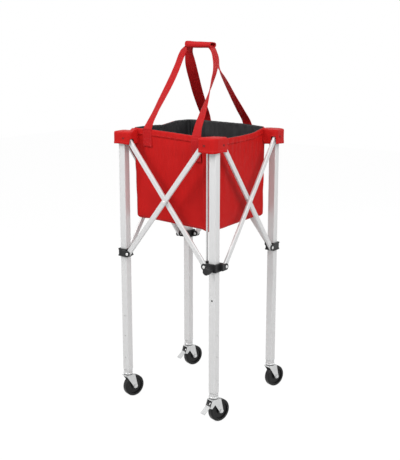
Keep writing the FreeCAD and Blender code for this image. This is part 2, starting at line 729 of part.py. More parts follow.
def brake_pedal(quarter):
    """A bent pedal ahead of the wheel, on a pin between the fork's cheeks."""
    hinge = Vector(-size("brake_reach"), 0, size("brake_level"))
    hub = size("brake_hub") / 2
    plate = size("brake_plate")
    tip = hinge + Vector(-size("brake_length"), 0, -size("brake_drop"))
    lip = tip + Vector(-plate, 0, 0)
    outline = [
        hinge + Vector(0, 0, hub),
        hinge + Vector(-hub, 0, 0),
        tip,
        lip,
        lip + Vector(0, 0, plate),
        hinge + Vector(-hub, 0, hub),
    ]
    wire = Part.makePolygon(outline + outline[:1])
    half = size("brake_width") / 2
    wire.translate(Vector(0, -half, 0))
    plate_shape = solid("Plate", Part.Face(wire).extrude(Vector(0, 2 * half, 0)))
    width = ("-brake_width / 2", "brake_width / 2")
    barrel = rod("Y", "brake_hub / 2", *width, x="-brake_reach", z="brake_level")
    shoe = span_box(("-brake_reach", "-brake_reach + brake_shoe"), width,
                    ("brake_level + brake_hub / 2 - brake_plate", "brake_level + brake_hub / 2"))
    bore_size = "brake_pin / 2 + axle_play"
    bore = rod("Y", bore_size, "-brake_width", "brake_width", x="-brake_reach", z="brake_level")
    piece = cut(join([plate_shape, barrel, shoe]), [bore])
    swivelled(piece, f"brake_pedal_{corners[quarter]}", quarter)


# Bag


def bag_corner(quarter):
    """One wall of the bag and the pocket that hangs on the leg top at its end."""
    far = "leg_spread / 2 + bag_half - bag_cloth - bag_gap"
    along = (f"-({far})", "-bag_face")
    wall = span_box(along, ("bag_face", "bag_face + bag_cloth"), ("bag_bottom", "bag_rim"))
    shells = []
    for layers in (0, 1):
        shell = span_box(
            (f"-pocket_in + {layers} * bag_cloth", f"pocket_side - {layers} * bag_cloth"),
            (f"-pocket_out + {layers} * bag_cloth", f"pocket_in - {layers} * bag_cloth"),
            (f"pocket_foot - {layers} * overrun", f"bag_rim - {layers} * bag_cloth"),
        )
        radius = size("pocket_edge") - layers * size("bag_cloth")
        shells.append(rounded(shell, radius, lambda edge: runs_along(edge, Vector(0, 0, 1))))
    outside, inside = shells
    bag_room = span_box(
        ("-pocket_in - overrun", "-bag_face + bag_gap"),
        ("bag_face", "pocket_in + overrun"),
        ("pocket_foot - overrun", "bag_rim + overrun"),
    )
    slots = []
    for side, plane in (("a", "outer_plane"), ("b", "inner_plane")):
        out = (f"{plane} - brace_depth / 2 - cheek - slot_side", f"{plane} + brace_depth / 2 + slot_side")
        along = ("pivot_reach", "pocket_in + overrun")
        slots.append(side_box(side, along, out, ("pocket_foot - overrun", "slot_top")))
    pocket = cut(outside, [inside, bag_room] + slots)
    keep(join([wall, pocket]), f"bag_corner_{corners[quarter]}", quarter)


def bag_base():
    half = "(bag_half - bag_cloth - bag_gap)"
    flat = (f"-{half}", half)
    piece = span_box(flat, flat, ("bag_bottom", "bag_bottom + bag_cloth"))
    piece.Label = "bag_base"
    made.append(piece)


def strap_end(sign_x, sign_y):
    """Webbing sewn to a wall below the rim, and its riser up to one end of the grip."""
    half_w, cloth = size("strap_width") / 2, size("strap_cloth")
    face = size("bag_half") + size("bag_gap")
    rim, top = size("bag_rim"), size("grip_level") - size("grip_height") / 2 - size("grip_gap")
    near_grip = size("grip_depth") / 4
    sections = []
    for middle, inner, level in (
        (size("strap_middle"), face, rim - size("strap_sewn")),
        (size("strap_middle"), face, rim),
        (size("strap_top"), near_grip, top),
    ):
        xs = [sign_x * (middle + side * half_w) for side in (-1, 1)]
        ys = [sign_y * inner, sign_y * (inner + cloth)]
        ring = [Vector(xs[0], ys[0], level), Vector(xs[1], ys[0], level),
                Vector(xs[1], ys[1], level), Vector(xs[0], ys[1], level)]
        sections.append(Part.makePolygon(ring + ring[:1]))
    return Part.makeLoft(sections, True, True)


def strap(label, sign_y):
    group = doc.addObject("Part::Compound", "Straps")
    group.Links = [solid("Webbing", strap_end(sign_x, sign_y)) for sign_x in (-1, 1)]
    group.Label = label
    made.append(group)


def grip_wrap():
    block = span_box(
        ("-grip_length / 2", "grip_length / 2"),
        ("-grip_depth / 2", "grip_depth / 2"),
        ("grip_level - grip_height / 2", "grip_level + grip_height / 2"),
    )
    piece = rounded(block, size("grip_edge"), lambda edge: runs_along(edge, Vector(1, 0, 0)))
    piece.Label = "grip_wrap"
    made.append(piece)


for quarter in range(4):
    leg(quarter)
    top_bracket(quarter)
    top_rivets(quarter)
    slider(quarter)
    slider_rivets(quarter)
    brace(quarter, True)
    brace(quarter, False)
    cross_rivet(quarter)
    caster_stem(quarter)
    caster_fork(quarter)
    caster_axle(quarter)
    wheel(quarter)
    bag_corner(quarter)
    if corners[quarter] in braked:
        brake_pedal(quarter)
stop_rod()
lock_knob()
bag_base()
strap("strap_front", -1)
strap("strap_back", 1)
grip_wrap()
doc.recompute()

for thing in doc.Objects:
    if "Invalid" in thing.State or "Error" in thing.State:
        raise RuntimeError(f"{thing.Label} failed: {thing.State}")
for piece in made:
    if piece.Shape.isNull() or not piece.Shape.isValid():
        raise RuntimeError(f"{piece.Label} has no sound shape")

os.makedirs("parts", exist_ok=True)
for piece in made:
    piece.Shape.exportStep(f"parts/{piece.Label}.step")

print("pieces", len(made))
print("brace length", round(brace_length, 3), "angle", round(brace_angle, 3))
print("fold", round(brace_angle - folded_angle, 3), "degrees, slide travel", round(slide_travel, 3))
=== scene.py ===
import math

import bmesh
import bpy
import numpy as np
from mathutils import Matrix, Vector


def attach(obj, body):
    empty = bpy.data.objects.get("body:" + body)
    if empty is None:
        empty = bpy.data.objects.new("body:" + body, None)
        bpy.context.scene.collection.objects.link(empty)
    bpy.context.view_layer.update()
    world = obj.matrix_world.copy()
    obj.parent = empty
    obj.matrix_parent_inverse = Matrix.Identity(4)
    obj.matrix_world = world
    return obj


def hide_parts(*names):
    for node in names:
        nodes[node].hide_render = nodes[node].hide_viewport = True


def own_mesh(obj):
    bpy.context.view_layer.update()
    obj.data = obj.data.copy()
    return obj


# Looks of a folding cart: cloth bag, webbing, stitches and finishes round the fixed frame

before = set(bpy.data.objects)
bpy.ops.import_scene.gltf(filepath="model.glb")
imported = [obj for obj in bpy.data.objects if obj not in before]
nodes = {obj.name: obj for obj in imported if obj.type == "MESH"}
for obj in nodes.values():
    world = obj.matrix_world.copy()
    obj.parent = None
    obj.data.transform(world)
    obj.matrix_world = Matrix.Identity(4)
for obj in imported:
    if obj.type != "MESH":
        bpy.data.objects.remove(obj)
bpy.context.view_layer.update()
corners = ("front", "right", "back", "left")
sides = ("front_left", "front_right", "back_right", "back_left")
legHalf = 0.180  # middle of the cart to a leg
print("frame loaded:", len(nodes), "nodes")


# Node trees, grown through one method, with their maths written as sums

class Wire:  # a socket that can stand in a sum
    def __init__(self, graph, socket):
        self.graph, self.socket = graph, socket

    def apply(self, operation, *values):
        return self.graph.node("ShaderNodeMath", {"operation": operation}, dict(enumerate(values)))


for word, operation in (("wave", "SINE"), ("size", "ABSOLUTE"), ("floor", "FLOOR")):
    setattr(Wire, word, lambda self, op=operation: self.apply(op, self))
for word, operation in (("add", "ADD"), ("sub", "SUBTRACT"), ("mul", "MULTIPLY"), ("truediv", "DIVIDE"),
                        ("mod", "FLOORED_MODULO"), ("lt", "LESS_THAN")):
    setattr(Wire, f"__{word}__", lambda self, other, op=operation: self.apply(op, self, other))
    setattr(Wire, f"__r{word}__", lambda self, other, op=operation: self.apply(op, other, self))


class Graph:
    def __init__(self, tree):
        self.tree = tree

    def node(self, kind, settings=None, inlets=None, outlet=0):
        made = self.tree.nodes.new(kind)
        for key, value in (settings or {}).items():
            setattr(made, key, value)
        for key, value in (inlets or {}).items():
            self.join(self.find(made.inputs, key), value)
        return Wire(self, self.find(made.outputs, outlet))

    def find(self, sockets, key):
        for socket in sockets:
            if socket.identifier == key:
                return socket
        return sockets[key]

    def join(self, inlet, value):
        if isinstance(value, Wire):
            self.tree.links.new(value.socket, inlet)
        else:
            inlet.default_value = value


class Paint(Graph):  # one material and the nodes that make it
    def __init__(self, name, shown):
        self.material = bpy.data.materials.new(name)
        self.material.use_nodes = True
        self.material.diffuse_color = (*shown, 1)
        super().__init__(self.material.node_tree)
        self.shader = self.tree.nodes["Principled BSDF"]

    def set(self, **values):
        for key, value in values.items():
            words = "".join(" " + c if c.isupper() else c for c in key).title()
            self.join(self.shader.inputs[words.replace("Ior", "IOR")], value)
        return self.material

    def place(self, turn=(0, 0, 0), stretch=(1, 1, 1)):
        here = self.node("ShaderNodeTexCoord", outlet="Object")
        if any(turn):
            here = self.node("ShaderNodeMapping", {}, {"Vector": here, "Rotation": turn})
        return self.node("ShaderNodeVectorMath", {"operation": "MULTIPLY"}, {0: here, 1: stretch})

    def level(self):
        return self.node("ShaderNodeSeparateXYZ", {}, {0: self.place()}, 2)

    def cloth(self):
        flat = self.node("ShaderNodeTexCoord", outlet="UV")
        return (self.node("ShaderNodeSeparateXYZ", {}, {0: flat}, n) for n in (0, 1))

    def noise(self, scale, detail=3, rough=0.5, where=None):
        return self.node("ShaderNodeTexNoise", {}, {"Vector": where or self.place(), "Scale": scale,
                                                    "Detail": detail, "Roughness": rough})

    def band(self, value, low, high):  # 0 below low, 1 above high
        return self.node("ShaderNodeMapRange", {"clamp": True},
                         {"Value": value, "From Min": low, "From Max": high})

    def mix(self, share, first, second):
        tones = [(*c, 1) if isinstance(c, tuple) else c for c in (first, second)]
        return self.node("ShaderNodeMix", {"data_type": "RGBA"},
                         {"Factor_Float": share, "A_Color": tones[0], "B_Color": tones[1]},
                         "Result_Color")

    def bump(self, height, depth, strength=1.0, under=None):
        inlets = {"Height": height, "Distance": depth, "Strength": strength}
        if under is not None:
            inlets["Normal"] = under
        return self.node("ShaderNodeBump", {}, inlets)


metalLook = {"tones": ((0.60, 0.60, 0.60), (0.74, 0.74, 0.74)), "scuffed": (0.52, 0.52, 0.51),
             "rough": 0.42, "metal": 0.35, "streaks": (520, 520, 5), "clouds": (9, 9, 4),
             "scuffs": (60, 60, 22), "streakDepth": 0.00004}


def aluminium(name, turn=(0, 0, 0)):
    look = Paint(name, metalLook["tones"][1])
    streak = look.noise(1.0, 2, where=look.place(turn, metalLook["streaks"]))
    cloud = look.noise(1.0, 4, where=look.place(turn, metalLook["clouds"]))
    scuff = look.band(look.noise(1.0, 6, 0.65, look.place(turn, metalLook["scuffs"])), 0.60, 0.74)
    tone = look.mix(streak * 0.45 + cloud * 0.35, *metalLook["tones"])
    rough = metalLook["rough"] + streak * 0.10 + cloud * 0.08 + scuff * 0.08
    return look.set(baseColor=look.mix(scuff * 0.35, tone, metalLook["scuffed"]), roughness=rough,
                    metallic=metalLook["metal"], specularIorLevel=0.3,
                    normal=look.bump(streak, metalLook["streakDepth"]))


blackLook = {"moulded": ((0.010, 0.010, 0.011), (0.021, 0.021, 0.022)), "dusty": (0.06, 0.06, 0.058),
             "wheel": ((0.0065, 0.0065, 0.007), (0.045, 0.044, 0.042)), "grainDepth": 0.00006}


def blackPlastic(name):
    look = Paint(name, (0.02, 0.02, 0.02))
    grain, cloud = look.noise(1400, 2), look.noise(35, 4)
    dust = look.band(look.noise(120, 6, 0.7), 0.55, 0.80)
    tone = look.mix(dust * 0.25, look.mix(cloud, *blackLook["moulded"]), blackLook["dusty"])
    return look.set(baseColor=tone, roughness=0.38 + cloud * 0.14 + dust * 0.12, specularIorLevel=0.28,
                    normal=look.bump(grain, blackLook["grainDepth"]))


def wheelBlack(name):
    look = Paint(name, (0.02, 0.02, 0.02))
    dust = look.band(look.noise(90, 6, 0.7), 0.50, 0.78)
    return look.set(baseColor=look.mix(dust * 0.3, *blackLook["wheel"]), roughness=0.36 + dust * 0.25,
                    specularIorLevel=0.25, normal=look.bump(look.noise(800, 3), blackLook["grainDepth"]))


platedLook = {"rivet": ((0.60, 0.60, 0.59), (0.86, 0.86, 0.85)), "speckDepth": 0.00003,
              "plug": ((0.52, 0.52, 0.52), (0.68, 0.68, 0.68)), "raceTop": 0.0910,
              "race": ((0.46, 0.47, 0.48), (0.80, 0.80, 0.79)), "metal": 0.95,
              # the last three entries paint shade: a near-black, less metallic band on the fork crown,
              # standing for the shadow in the ball race's gap
              "zinc": ((0.42, 0.43, 0.44), (0.78, 0.78, 0.77)), "paintedGapShade": (0.030, 0.030, 0.032),
              "paintedShadeHeights": (0.0824, 0.0832), "paintedShadeDulls": 0.65}


def brightRivet(name):
    look = Paint(name, (0.8, 0.8, 0.8))
    speck = look.noise(420, 4)
    return look.set(baseColor=look.mix(speck, *platedLook["rivet"]), metallic=0.9,
                    roughness=0.24 + speck * 0.18, normal=look.bump(speck, platedLook["speckDepth"]))


def plugAndRace(name):  # moulded plug above, zinc-plated race below
    look = Paint(name, platedLook["plug"][1])
    race = look.level() < platedLook["raceTop"]
    cloud, spangle = look.noise(60, 4), look.noise(260, 5, 0.6)
    tones = (look.mix(cloud, *platedLook["plug"]), look.mix(spangle, *platedLook["race"]))
    return look.set(baseColor=look.mix(race, *tones), metallic=race * platedLook["metal"],
                    roughness=0.42 + cloud * 0.12 - race * 0.16,
                    normal=look.bump(spangle, platedLook["speckDepth"]))


def zincPlate(name, paintedShadeHeights=None):  # heights from which upward a painted shade darkens and dulls the zinc, standing for the shadow in the gap under the ball race
    look = Paint(name, (0.6, 0.6, 0.6))
    cloud, spangle = look.noise(45, 3), look.noise(260, 5, 0.6)
    tone, metal = look.mix(spangle * 0.6 + cloud * 0.4, *platedLook["zinc"]), platedLook["metal"]
    if paintedShadeHeights:
        # painted shade: above these heights the crown is darkened and made less metallic, standing for the
        # shadow of the ball race's gap
        paintedGapShade = look.band(look.level(), *paintedShadeHeights)
        tone = look.mix(paintedGapShade, tone, platedLook["paintedGapShade"])
        metal = metal - paintedGapShade * platedLook["paintedShadeDulls"]
    return look.set(baseColor=tone, metallic=metal, roughness=0.20 + cloud * 0.16 + spangle * 0.08,
                    normal=look.bump(spangle, platedLook["speckDepth"]))


clothLook = {"tones": ((0.39, 0.0070, 0.0065), (0.52, 0.0110, 0.0100)), "bright": (0.58, 0.015, 0.016),
             "thread": 0.00075, "weaveDepth": 0.00011, "creaseDepth": 0.0016}


def coatedCloth(name):
    look = Paint(name, clothLook["tones"][1])
    across, along = look.cloth()
    pitch = math.pi / clothLook["thread"]
    warp, weft = (across * pitch).wave().size(), (along * pitch).wave().size()
    over = ((across / clothLook["thread"]).floor() + (along / clothLook["thread"]).floor()) % 2
    weave = warp * over + weft * (1 - over)
    cloud, crease = look.noise(14, 4, 0.55), look.noise(38, 5, 0.6)
    rub = look.band(look.noise(55, 6, 0.7), 0.52, 0.80)
    tone = look.mix(weave * 0.22 + rub * 0.20, look.mix(cloud, *clothLook["tones"]), clothLook["bright"])
    grain = look.bump(weave, clothLook["weaveDepth"], 0.55)
    return look.set(baseColor=tone, roughness=0.55 + rub * 0.14 - weave * 0.08, specularIorLevel=0.09,
                    normal=look.bump(crease, clothLook["creaseDepth"], 0.35, grain))


webbingLook = {"tones": ((0.33, 0.006, 0.007), (0.50, 0.012, 0.014)), "cloud": (0.42, 0.008, 0.009),
               "ribPitch": 0.0021, "zigzagPitch": 0.0046, "zigzagReach": 0.0030,
               "selvage": (0.0162, 0.0172), "ribDepth": 0.00030}


def ribbedWebbing(name):
    look = Paint(name, clothLook["bright"])
    across, along = look.cloth()
    zigzag = ((across / webbingLook["zigzagPitch"] % 1) - 0.5).size() * webbingLook["zigzagReach"]
    rib = ((along + zigzag) * (math.pi / webbingLook["ribPitch"])).wave().size()
    edge = look.band(across.size(), *webbingLook["selvage"])
    height = rib * (1 - edge) + edge * 0.6
    tone = look.mix(look.noise(30, 4) * 0.35, look.mix(rib, *webbingLook["tones"]), webbingLook["cloud"])
    return look.set(baseColor=tone, roughness=0.62 - rib * 0.12, specularIorLevel=0.10,
                    normal=look.bump(height, webbingLook["ribDepth"], 0.8))


liningLook = {"tones": ((0.008, 0.008, 0.009), (0.022, 0.022, 0.024)), "thread": 0.0009, "depth": 0.0012}


def blackLining(name):
    look = Paint(name, (0.015, 0.015, 0.016))
    across, along = look.cloth()
    pitch = math.pi / liningLook["thread"]
    weave = (across * pitch).wave().size() * 0.5 + (along * pitch).wave().size() * 0.5
    cloud = look.noise(22, 5, 0.6)
    return look.set(baseColor=look.mix(cloud, *liningLook["tones"]), roughness=0.48 + cloud * 0.15,
                    specularIorLevel=0.35, normal=look.bump(weave * 0.3 + cloud, liningLook["depth"], 0.35))


def thread(name, tone):
    look = Paint(name, tone)
    twist = look.noise(2600, 2)
    return look.set(baseColor=look.mix(twist, tuple(0.7 * c for c in tone), tone), roughness=0.6,
                    normal=look.bump(twist, 0.00005))


finish = {"leg": aluminium("legAluminium"), "plastic": blackPlastic("mouldedBlack"),
          "rivet": brightRivet("brightRivet"), "plug": plugAndRace("plugAndRace"),
          # the fork's zinc carries a painted shade band for the shadow in the ball race's gap
          "zinc": zincPlate("zincPlate"), "fork": zincPlate("forkZinc", platedLook["paintedShadeHeights"]),
          "wheel": wheelBlack("wheelBlack"), "cloth": coatedCloth("redBagCloth"),
          "webbing": ribbedWebbing("redWebbing"), "lining": blackLining("blackLining"),
          "thread": thread("redThread", (0.66, 0.03, 0.03)),
          "darkThread": thread("darkThread", (0.05, 0.008, 0.008))}
print("finishes made:", len(finish))


# Finishes of the frame's own pieces

braceLean = math.radians(38.44)
dressing = {"rivet": ("top_rivets", "slider_rivets", "cross_rivet"), "leg": ("leg_",),
            "plastic": ("top_bracket", "slider_", "lock_knob"), "plug": ("caster_stem",),
            "fork": ("caster_fork",), "zinc": ("stop_rod", "caster_", "brake_"), "wheel": ("wheel_",)}


def dress(node, material):
    node.data.materials.clear()
    node.data.materials.append(material)


for quarter, side in enumerate(sides):
    for kind, lean in (("outer", braceLean), ("inner", -braceLean)):  # streaks run along a brace
        turn = Matrix.Rotation(-lean, 3, "Y") @ Matrix.Rotation(-quarter * math.pi / 2, 3, "Z")
        dress(nodes[f"brace_{kind}_{side}"],
              aluminium(f"{kind}BraceAluminium{quarter}", tuple(turn.to_euler())))
for name, node in nodes.items():
    for key, starts in dressing.items():
        if name.startswith(starts):
            dress(node, finish[key])
            break
print("frame dressed")


# Meshes from grids of points

def smoothGrain(points, scale, seed):  # gentle repeatable noise, about -1 to 1
    draw = np.random.default_rng(seed)
    total = np.zeros(points.shape[:-1])
    for octave in range(3):
        for wave in range(5):
            way = draw.normal(size=3)
            way *= scale * 2 ** octave / np.linalg.norm(way)
            total += np.sin(points @ way + draw.uniform(0, 2 * math.pi)) / (5 * 2 ** octave)
    return total


def easeOver(share):
    share = min(max(share, 0), 1)
    return share * share * (3 - 2 * share)


def easedEnds(count, first, last):  # 0 at both ends of a column of points, 1 between
    n = np.arange(count)
    return (np.clip(n / first, 0, 1) * np.clip((count - 1 - n) / last, 0, 1))[:, None]


def squared(value, power):  # a sine or cosine for a rounded box in place of a circle
    return np.copysign(np.abs(value) ** power, value)


def unit(ways):
    return ways / np.linalg.norm(ways, axis=-1, keepdims=True)


def lengths(line):  # how far along a line each of its points is
    return np.concatenate([[0], np.cumsum(np.linalg.norm(np.diff(line, axis=0), axis=1))])


def gridNormals(grid, around=False):
    if around:
        padded = np.concatenate([grid[:, -1:], grid, grid[:, :1]], 1)
        across = padded[:, 2:] - padded[:, :-2]
    else:
        across = np.gradient(grid, axis=1)
    normal = np.cross(np.gradient(grid, axis=0), across)
    return normal / np.maximum(np.linalg.norm(normal, axis=-1, keepdims=True), 1e-12)


def stand(name, data):  # a new object in the scene
    piece = bpy.data.objects.new(name, data)
    bpy.context.scene.collection.objects.link(piece)
    return piece


def rework(piece, act):
    work = bmesh.new()
    work.from_mesh(piece.data)
    act(work)
    work.to_mesh(piece.data)
    work.free()


def makeMesh(name, points, faces, uvs, picks, materials):
    mesh = bpy.data.meshes.new(name)
    mesh.from_pydata(points, [], faces)
    flat = [part for face in uvs for uv in face for part in uv]
    mesh.uv_layers.new(name="cloth").data.foreach_set("uv", flat)
    for material in materials:
        mesh.materials.append(material)
    mesh.polygons.foreach_set("material_index", picks)
    mesh.shade_smooth()
    mesh.update()
    return stand(name, mesh)


def cells(down, across):  # the cells of a grid, by row and column
    return [[(r, c), (r + 1, c), (r + 1, c + 1), (r, c + 1)] for r in range(down) for c in range(across)]


# A closed sheet between two grids, with its own material on each
def shell(name, outer, inner, uv, materials, around=False, poles=False):
    rows, columns = outer.shape[:2]
    spans = columns if around else columns - 1
    faces, uvs, picks = [], [], []

    def flat(r, c):
        return tuple(uv[r, c] if c < columns else uv[r, 0] + (uv[r, -1] - uv[r, -2]) * columns)

    def add(pick, *spots):  # a face by the grid, row and column of its corners
        faces.append([grid * rows * columns + r * columns + c % columns for grid, r, c in spots])
        uvs.append([flat(r, c) for grid, r, c in spots])
        picks.append(pick)

    for ring in cells(rows - 1, spans):
        add(0, *((0, *spot) for spot in ring))
        add(1, *((1, *spot) for spot in ring[::-1]))
    borders = [[(rows - 1, c) for c in range(spans + 1)]]
    if not poles:
        borders.append([(0, c) for c in range(spans, -1, -1)])
    if not around:
        borders.append([(r, 0) for r in range(rows)])
        borders.append([(r, columns - 1) for r in range(rows - 1, -1, -1)])
    for border in borders:
        for a, b in zip(border, border[1:]):
            add(0, (0, *a), (1, *a), (1, *b), (0, *b))
    points = np.concatenate([outer.reshape(-1, 3), inner.reshape(-1, 3)])
    piece = makeMesh(name, points, faces, uvs, picks, materials)
    if poles:
        rework(piece, lambda work: bmesh.ops.remove_doubles(work, verts=work.verts, dist=1e-6))
    return piece


def smoothPath(knots, count):  # a smooth way through rows of numbers that begin with x, y, z
    data = np.array(knots, float)
    reach = lengths(data[:, :3])
    slopes = np.gradient(data, reach, axis=0)
    made = []
    for s in np.linspace(0, reach[-1], count):
        n = min(int(np.searchsorted(reach, s, "right")) - 1, len(data) - 2)
        span = reach[n + 1] - reach[n]
        t = (s - reach[n]) / span
        a, b = 2 * t**3 - 3 * t**2 + 1, t**3 - 2 * t**2 + t
        c, d = 3 * t**2 - 2 * t**3, t**3 - t**2
        made.append(a * data[n] + b * span * slopes[n] + c * data[n + 1] + d * span * slopes[n + 1])
    return np.array(made)


# The bag's shell, draped by a cloth simulation; its lists go front, right, back, left

bag = {"half": 0.1585, "bulge": 0.0012, "bottomHalf": 0.1630, "bottom": 0.6390,
       "lean": (0.0026, 0.0012), "leanBy": 0.55, "bottomEdge": 0.0075, "edgeRows": 4,
       "foot": ((0.0070, -0.0090), (-0.0090, -0.0020), (-0.0020, 0.0010), (0.0010, 0.0070)),
       "columns": 30, "rows": 30, "cloth": 0.0020, "fullest": 0.0075,
       "rimRound": (0.044, 0.017, 0.020, 0.018), "bottomRound": (0.024, 0.022, 0.022, 0.022),
       "rim": ((0.938, 0.935, 0.931, 0.926, 0.9215), (0.9215, 0.9150, 0.9155, 0.9190, 0.9330),
               (0.9330, 0.9385, 0.9405, 0.9425, 0.9430), (0.9430, 0.9440, 0.9350, 0.9385, 0.9380)),
       "ripples": ((42, 7, 0.0012), (110, 3, 0.0005)), "still": (6, 10)}  # scale, seed, depth; rows
hang = {"quality": 6, "mass": 0.35, "tension_stiffness": 14, "compression_stiffness": 14,
        "shear_stiffness": 6, "bending_stiffness": 0.4, "shrink_min": -0.022, "use_pressure": True,
        "uniform_pressure_force": 0.25}
hangSteps = 26
pinned = (1.0, 0.6)  # how firmly the first rows of the cloth are held


def roundedSide(share, half, before, after):  # a point of the front side, seen from above
    first, last = math.pi / 4 * before, math.pi / 4 * after
    straight = 2 * half - before - after
    s = share * (first + straight + last)
    if first <= s <= first + straight:
        return before - half + s - first, -half
    x, radius, a = before - half, before, math.pi * 1.25 + s / before
    if s > first:
        x, radius, a = half - after, after, math.pi * 1.5 + (s - first - straight) / after
    return x + radius * math.cos(a), radius - half + radius * math.sin(a)


def quarterTurn(x, y, quarter):
    return ((x, y), (-y, x), (-x, -y), (y, -x))[quarter]


def bagGrid():
    across, down, edge = bag["columns"], bag["rows"], bag["bottomEdge"]
    grid = np.zeros((down + bag["edgeRows"] + 1, 4 * across, 3))
    for column in range(4 * across):
        quarter, share = column // across, (column % across) / across
        top = np.interp(share, (0, 0.25, 0.5, 0.75, 1), bag["rim"][quarter])
        foot = bag["bottom"] + edge + np.interp(share, (0, 1), bag["foot"][quarter])
        for row in range(len(grid)):
            drop = min(row / down, 1.0)
            half = bag["half"] + (bag["bottomHalf"] - bag["half"]) * drop
            half += bag["bulge"] * math.sin(math.pi * drop)
            ease = easeOver(drop / bag["leanBy"])
            rounds = [bag["rimRound"][n] + (bag["bottomRound"][n] - bag["rimRound"][n]) * ease
                      for n in (quarter - 1, quarter)]
            z = top + (foot - top) * drop
            if row > down:  # the turn under the bottom edge
                a = math.pi / 2 * (row - down) / bag["edgeRows"]
                half -= edge * (1 - math.cos(a))
                rounds = [r - edge * (1 - math.cos(a)) for r in rounds]
                z = foot - edge * math.sin(a)
            x, y = quarterTurn(*roundedSide(share, half, *rounds), quarter)
            grid[row, column] = (x + bag["lean"][0] * ease, y + bag["lean"][1] * ease, z)
    return grid


def ringPlace(p, q):  # how many columns round the walls' foot an edge point of the base lies
    across, rim = bag["columns"], 1 - 1e-9
    side, along = (0, p) if q <= -rim else (1, q) if p >= rim else (2, -p) if q >= rim else (3, -q)
    return side * across + (along + 1) / 2 * across


def baseGrid(ring):  # concentric with the walls' foot
    across = bag["columns"]
    base = np.zeros((across + 1, across + 1, 3))
    for i, j in np.ndindex(across + 1, across + 1):
        u, v = 2 * j / across - 1, 2 * i / across - 1
        reach = max(abs(u), abs(v), 1e-12)
        place = ringPlace(u / reach, v / reach)
        low, share = int(place) % len(ring), place - int(place)
        spot = ring[low] * (1 - share) + ring[(low + 1) % len(ring)] * share
        level = bag["bottom"] + (spot[2] - bag["bottom"]) * reach
        base[i, j] = (spot[0] * reach, spot[1] * reach, level)
    return base


def drape(walls, base):  # hangs the cloth from its rim
    rows, columns = walls.shape[:2]
    points = np.concatenate([walls.reshape(-1, 3), base[1:-1, 1:-1].reshape(-1, 3)])
    across = bag["columns"]
    inner = across - 1

    def baseIndex(i, j):
        if 0 < i < across and 0 < j < across:
            return rows * columns + (i - 1) * inner + j - 1
        place = ringPlace(2 * j / across - 1, 2 * i / across - 1)
        return (rows - 1) * columns + round(place) % columns

    faces = [[r * columns + c % columns for r, c in ring] for ring in cells(rows - 1, columns)]
    faces += [[baseIndex(i, j) for i, j in ring] for ring in cells(across, across)]
    mesh = bpy.data.meshes.new("drapedCloth")
    mesh.from_pydata(points, [], faces)
    cloth = stand("drapedCloth", mesh)
    pins = cloth.vertex_groups.new(name="pins")
    for row, weight in enumerate(pinned):
        pins.add(list(range(row * columns, (row + 1) * columns)), weight, "REPLACE")
    stiff = cloth.modifiers.new("hang", "CLOTH")
    stiff.settings.vertex_group_mass = "pins"
    for key, value in hang.items():
        setattr(stiff.settings, key, value)
    stiff.point_cache.frame_start, stiff.point_cache.frame_end = 1, hangSteps
    for step in range(hangSteps):
        bpy.context.scene.frame_set(step + 1)
    settled = cloth.evaluated_get(bpy.context.evaluated_depsgraph_get())
    moved = np.array([vertex.co for vertex in settled.data.vertices]) - points
    bpy.data.objects.remove(cloth)
    bpy.context.scene.frame_set(1)
    reach = np.linalg.norm(moved, axis=1, keepdims=True)
    points = points + moved * np.tanh(reach / bag["fullest"]) * bag["fullest"] / np.maximum(reach, 1e-9)
    walls = points[:rows * columns].reshape(rows, columns, 3)
    fresh = baseGrid(walls[-1])
    fresh[1:-1, 1:-1] = points[rows * columns:].reshape(inner, inner, 3)
    return walls, fresh


def finer(grid, around):  # twice the points, on smooth lines
    for axis in (1, 0):
        work = np.moveaxis(grid, axis, 0)
        if around and axis == 1:
            a, b, c, d = np.roll(work, 1, 0), work, np.roll(work, -1, 0), np.roll(work, -2, 0)
            middle = (9 * (b + c) - a - d) / 16
            fine = np.stack([work, middle], 1).reshape(-1, *work.shape[1:])
        else:
            long = np.concatenate([2 * work[:1] - work[1:2], work, 2 * work[-1:] - work[-2:-1]])
            middle = (9 * (long[1:-2] + long[2:-1]) - long[:-3] - long[3:]) / 16
            fine = np.empty((2 * len(work) - 1, *work.shape[1:]))
            fine[::2], fine[1::2] = work, middle
        grid = np.moveaxis(fine, 0, axis)
    return grid


walls = bagGrid()
base = baseGrid(walls[-1])
walls, base = drape(walls, base)
walls, base = finer(walls, True), finer(base, False)
ripple = sum(smoothGrain(walls, scale, seed) * depth for scale, seed, depth in bag["ripples"])
fade = easedEnds(len(walls), *bag["still"])
walls = walls + gridNormals(walls, True) * (ripple * fade)[..., None]
ring = np.concatenate([walls[-1], walls[-1][:1]])
sideCells = n = 2 * bag["columns"]
base[0], base[:, n] = ring[:n + 1], ring[n:2 * n + 1]  # the base keeps the walls' foot
base[n, ::-1], base[::-1, 0] = ring[2 * n:3 * n + 1], ring[3 * n:]
wallNormals, baseNormals = gridNormals(walls, True), -gridNormals(base)
wallOut = walls + wallNormals * bag["cloth"] / 2
wallIn = walls - wallNormals * bag["cloth"] / 2
print("bag draped:", walls.shape, base.shape)

fullSlide = 0.250  # how far the legs close up
shutKeep = 1 - fullSlide / (2 * bag["half"])


def fold(piece, body, way, anchor, keep=shutKeep):
    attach(piece, body)
    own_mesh(piece)


def wallColumns(quarter):
    return [n % (4 * sideCells) for n in range(quarter * sideCells, (quarter + 1) * sideCells + 1)]


def flatUv(grid):  # metres across and down the cloth
    across, down = np.zeros((2, *grid.shape[:2]))
    across[:, 1:] = np.cumsum(np.linalg.norm(np.diff(grid, axis=1), axis=2), 1).mean(0)
    down[1:] = np.cumsum(np.linalg.norm(np.diff(grid, axis=0), axis=2), 0).mean(1)[:, None]
    return np.stack([across, -down], -1)


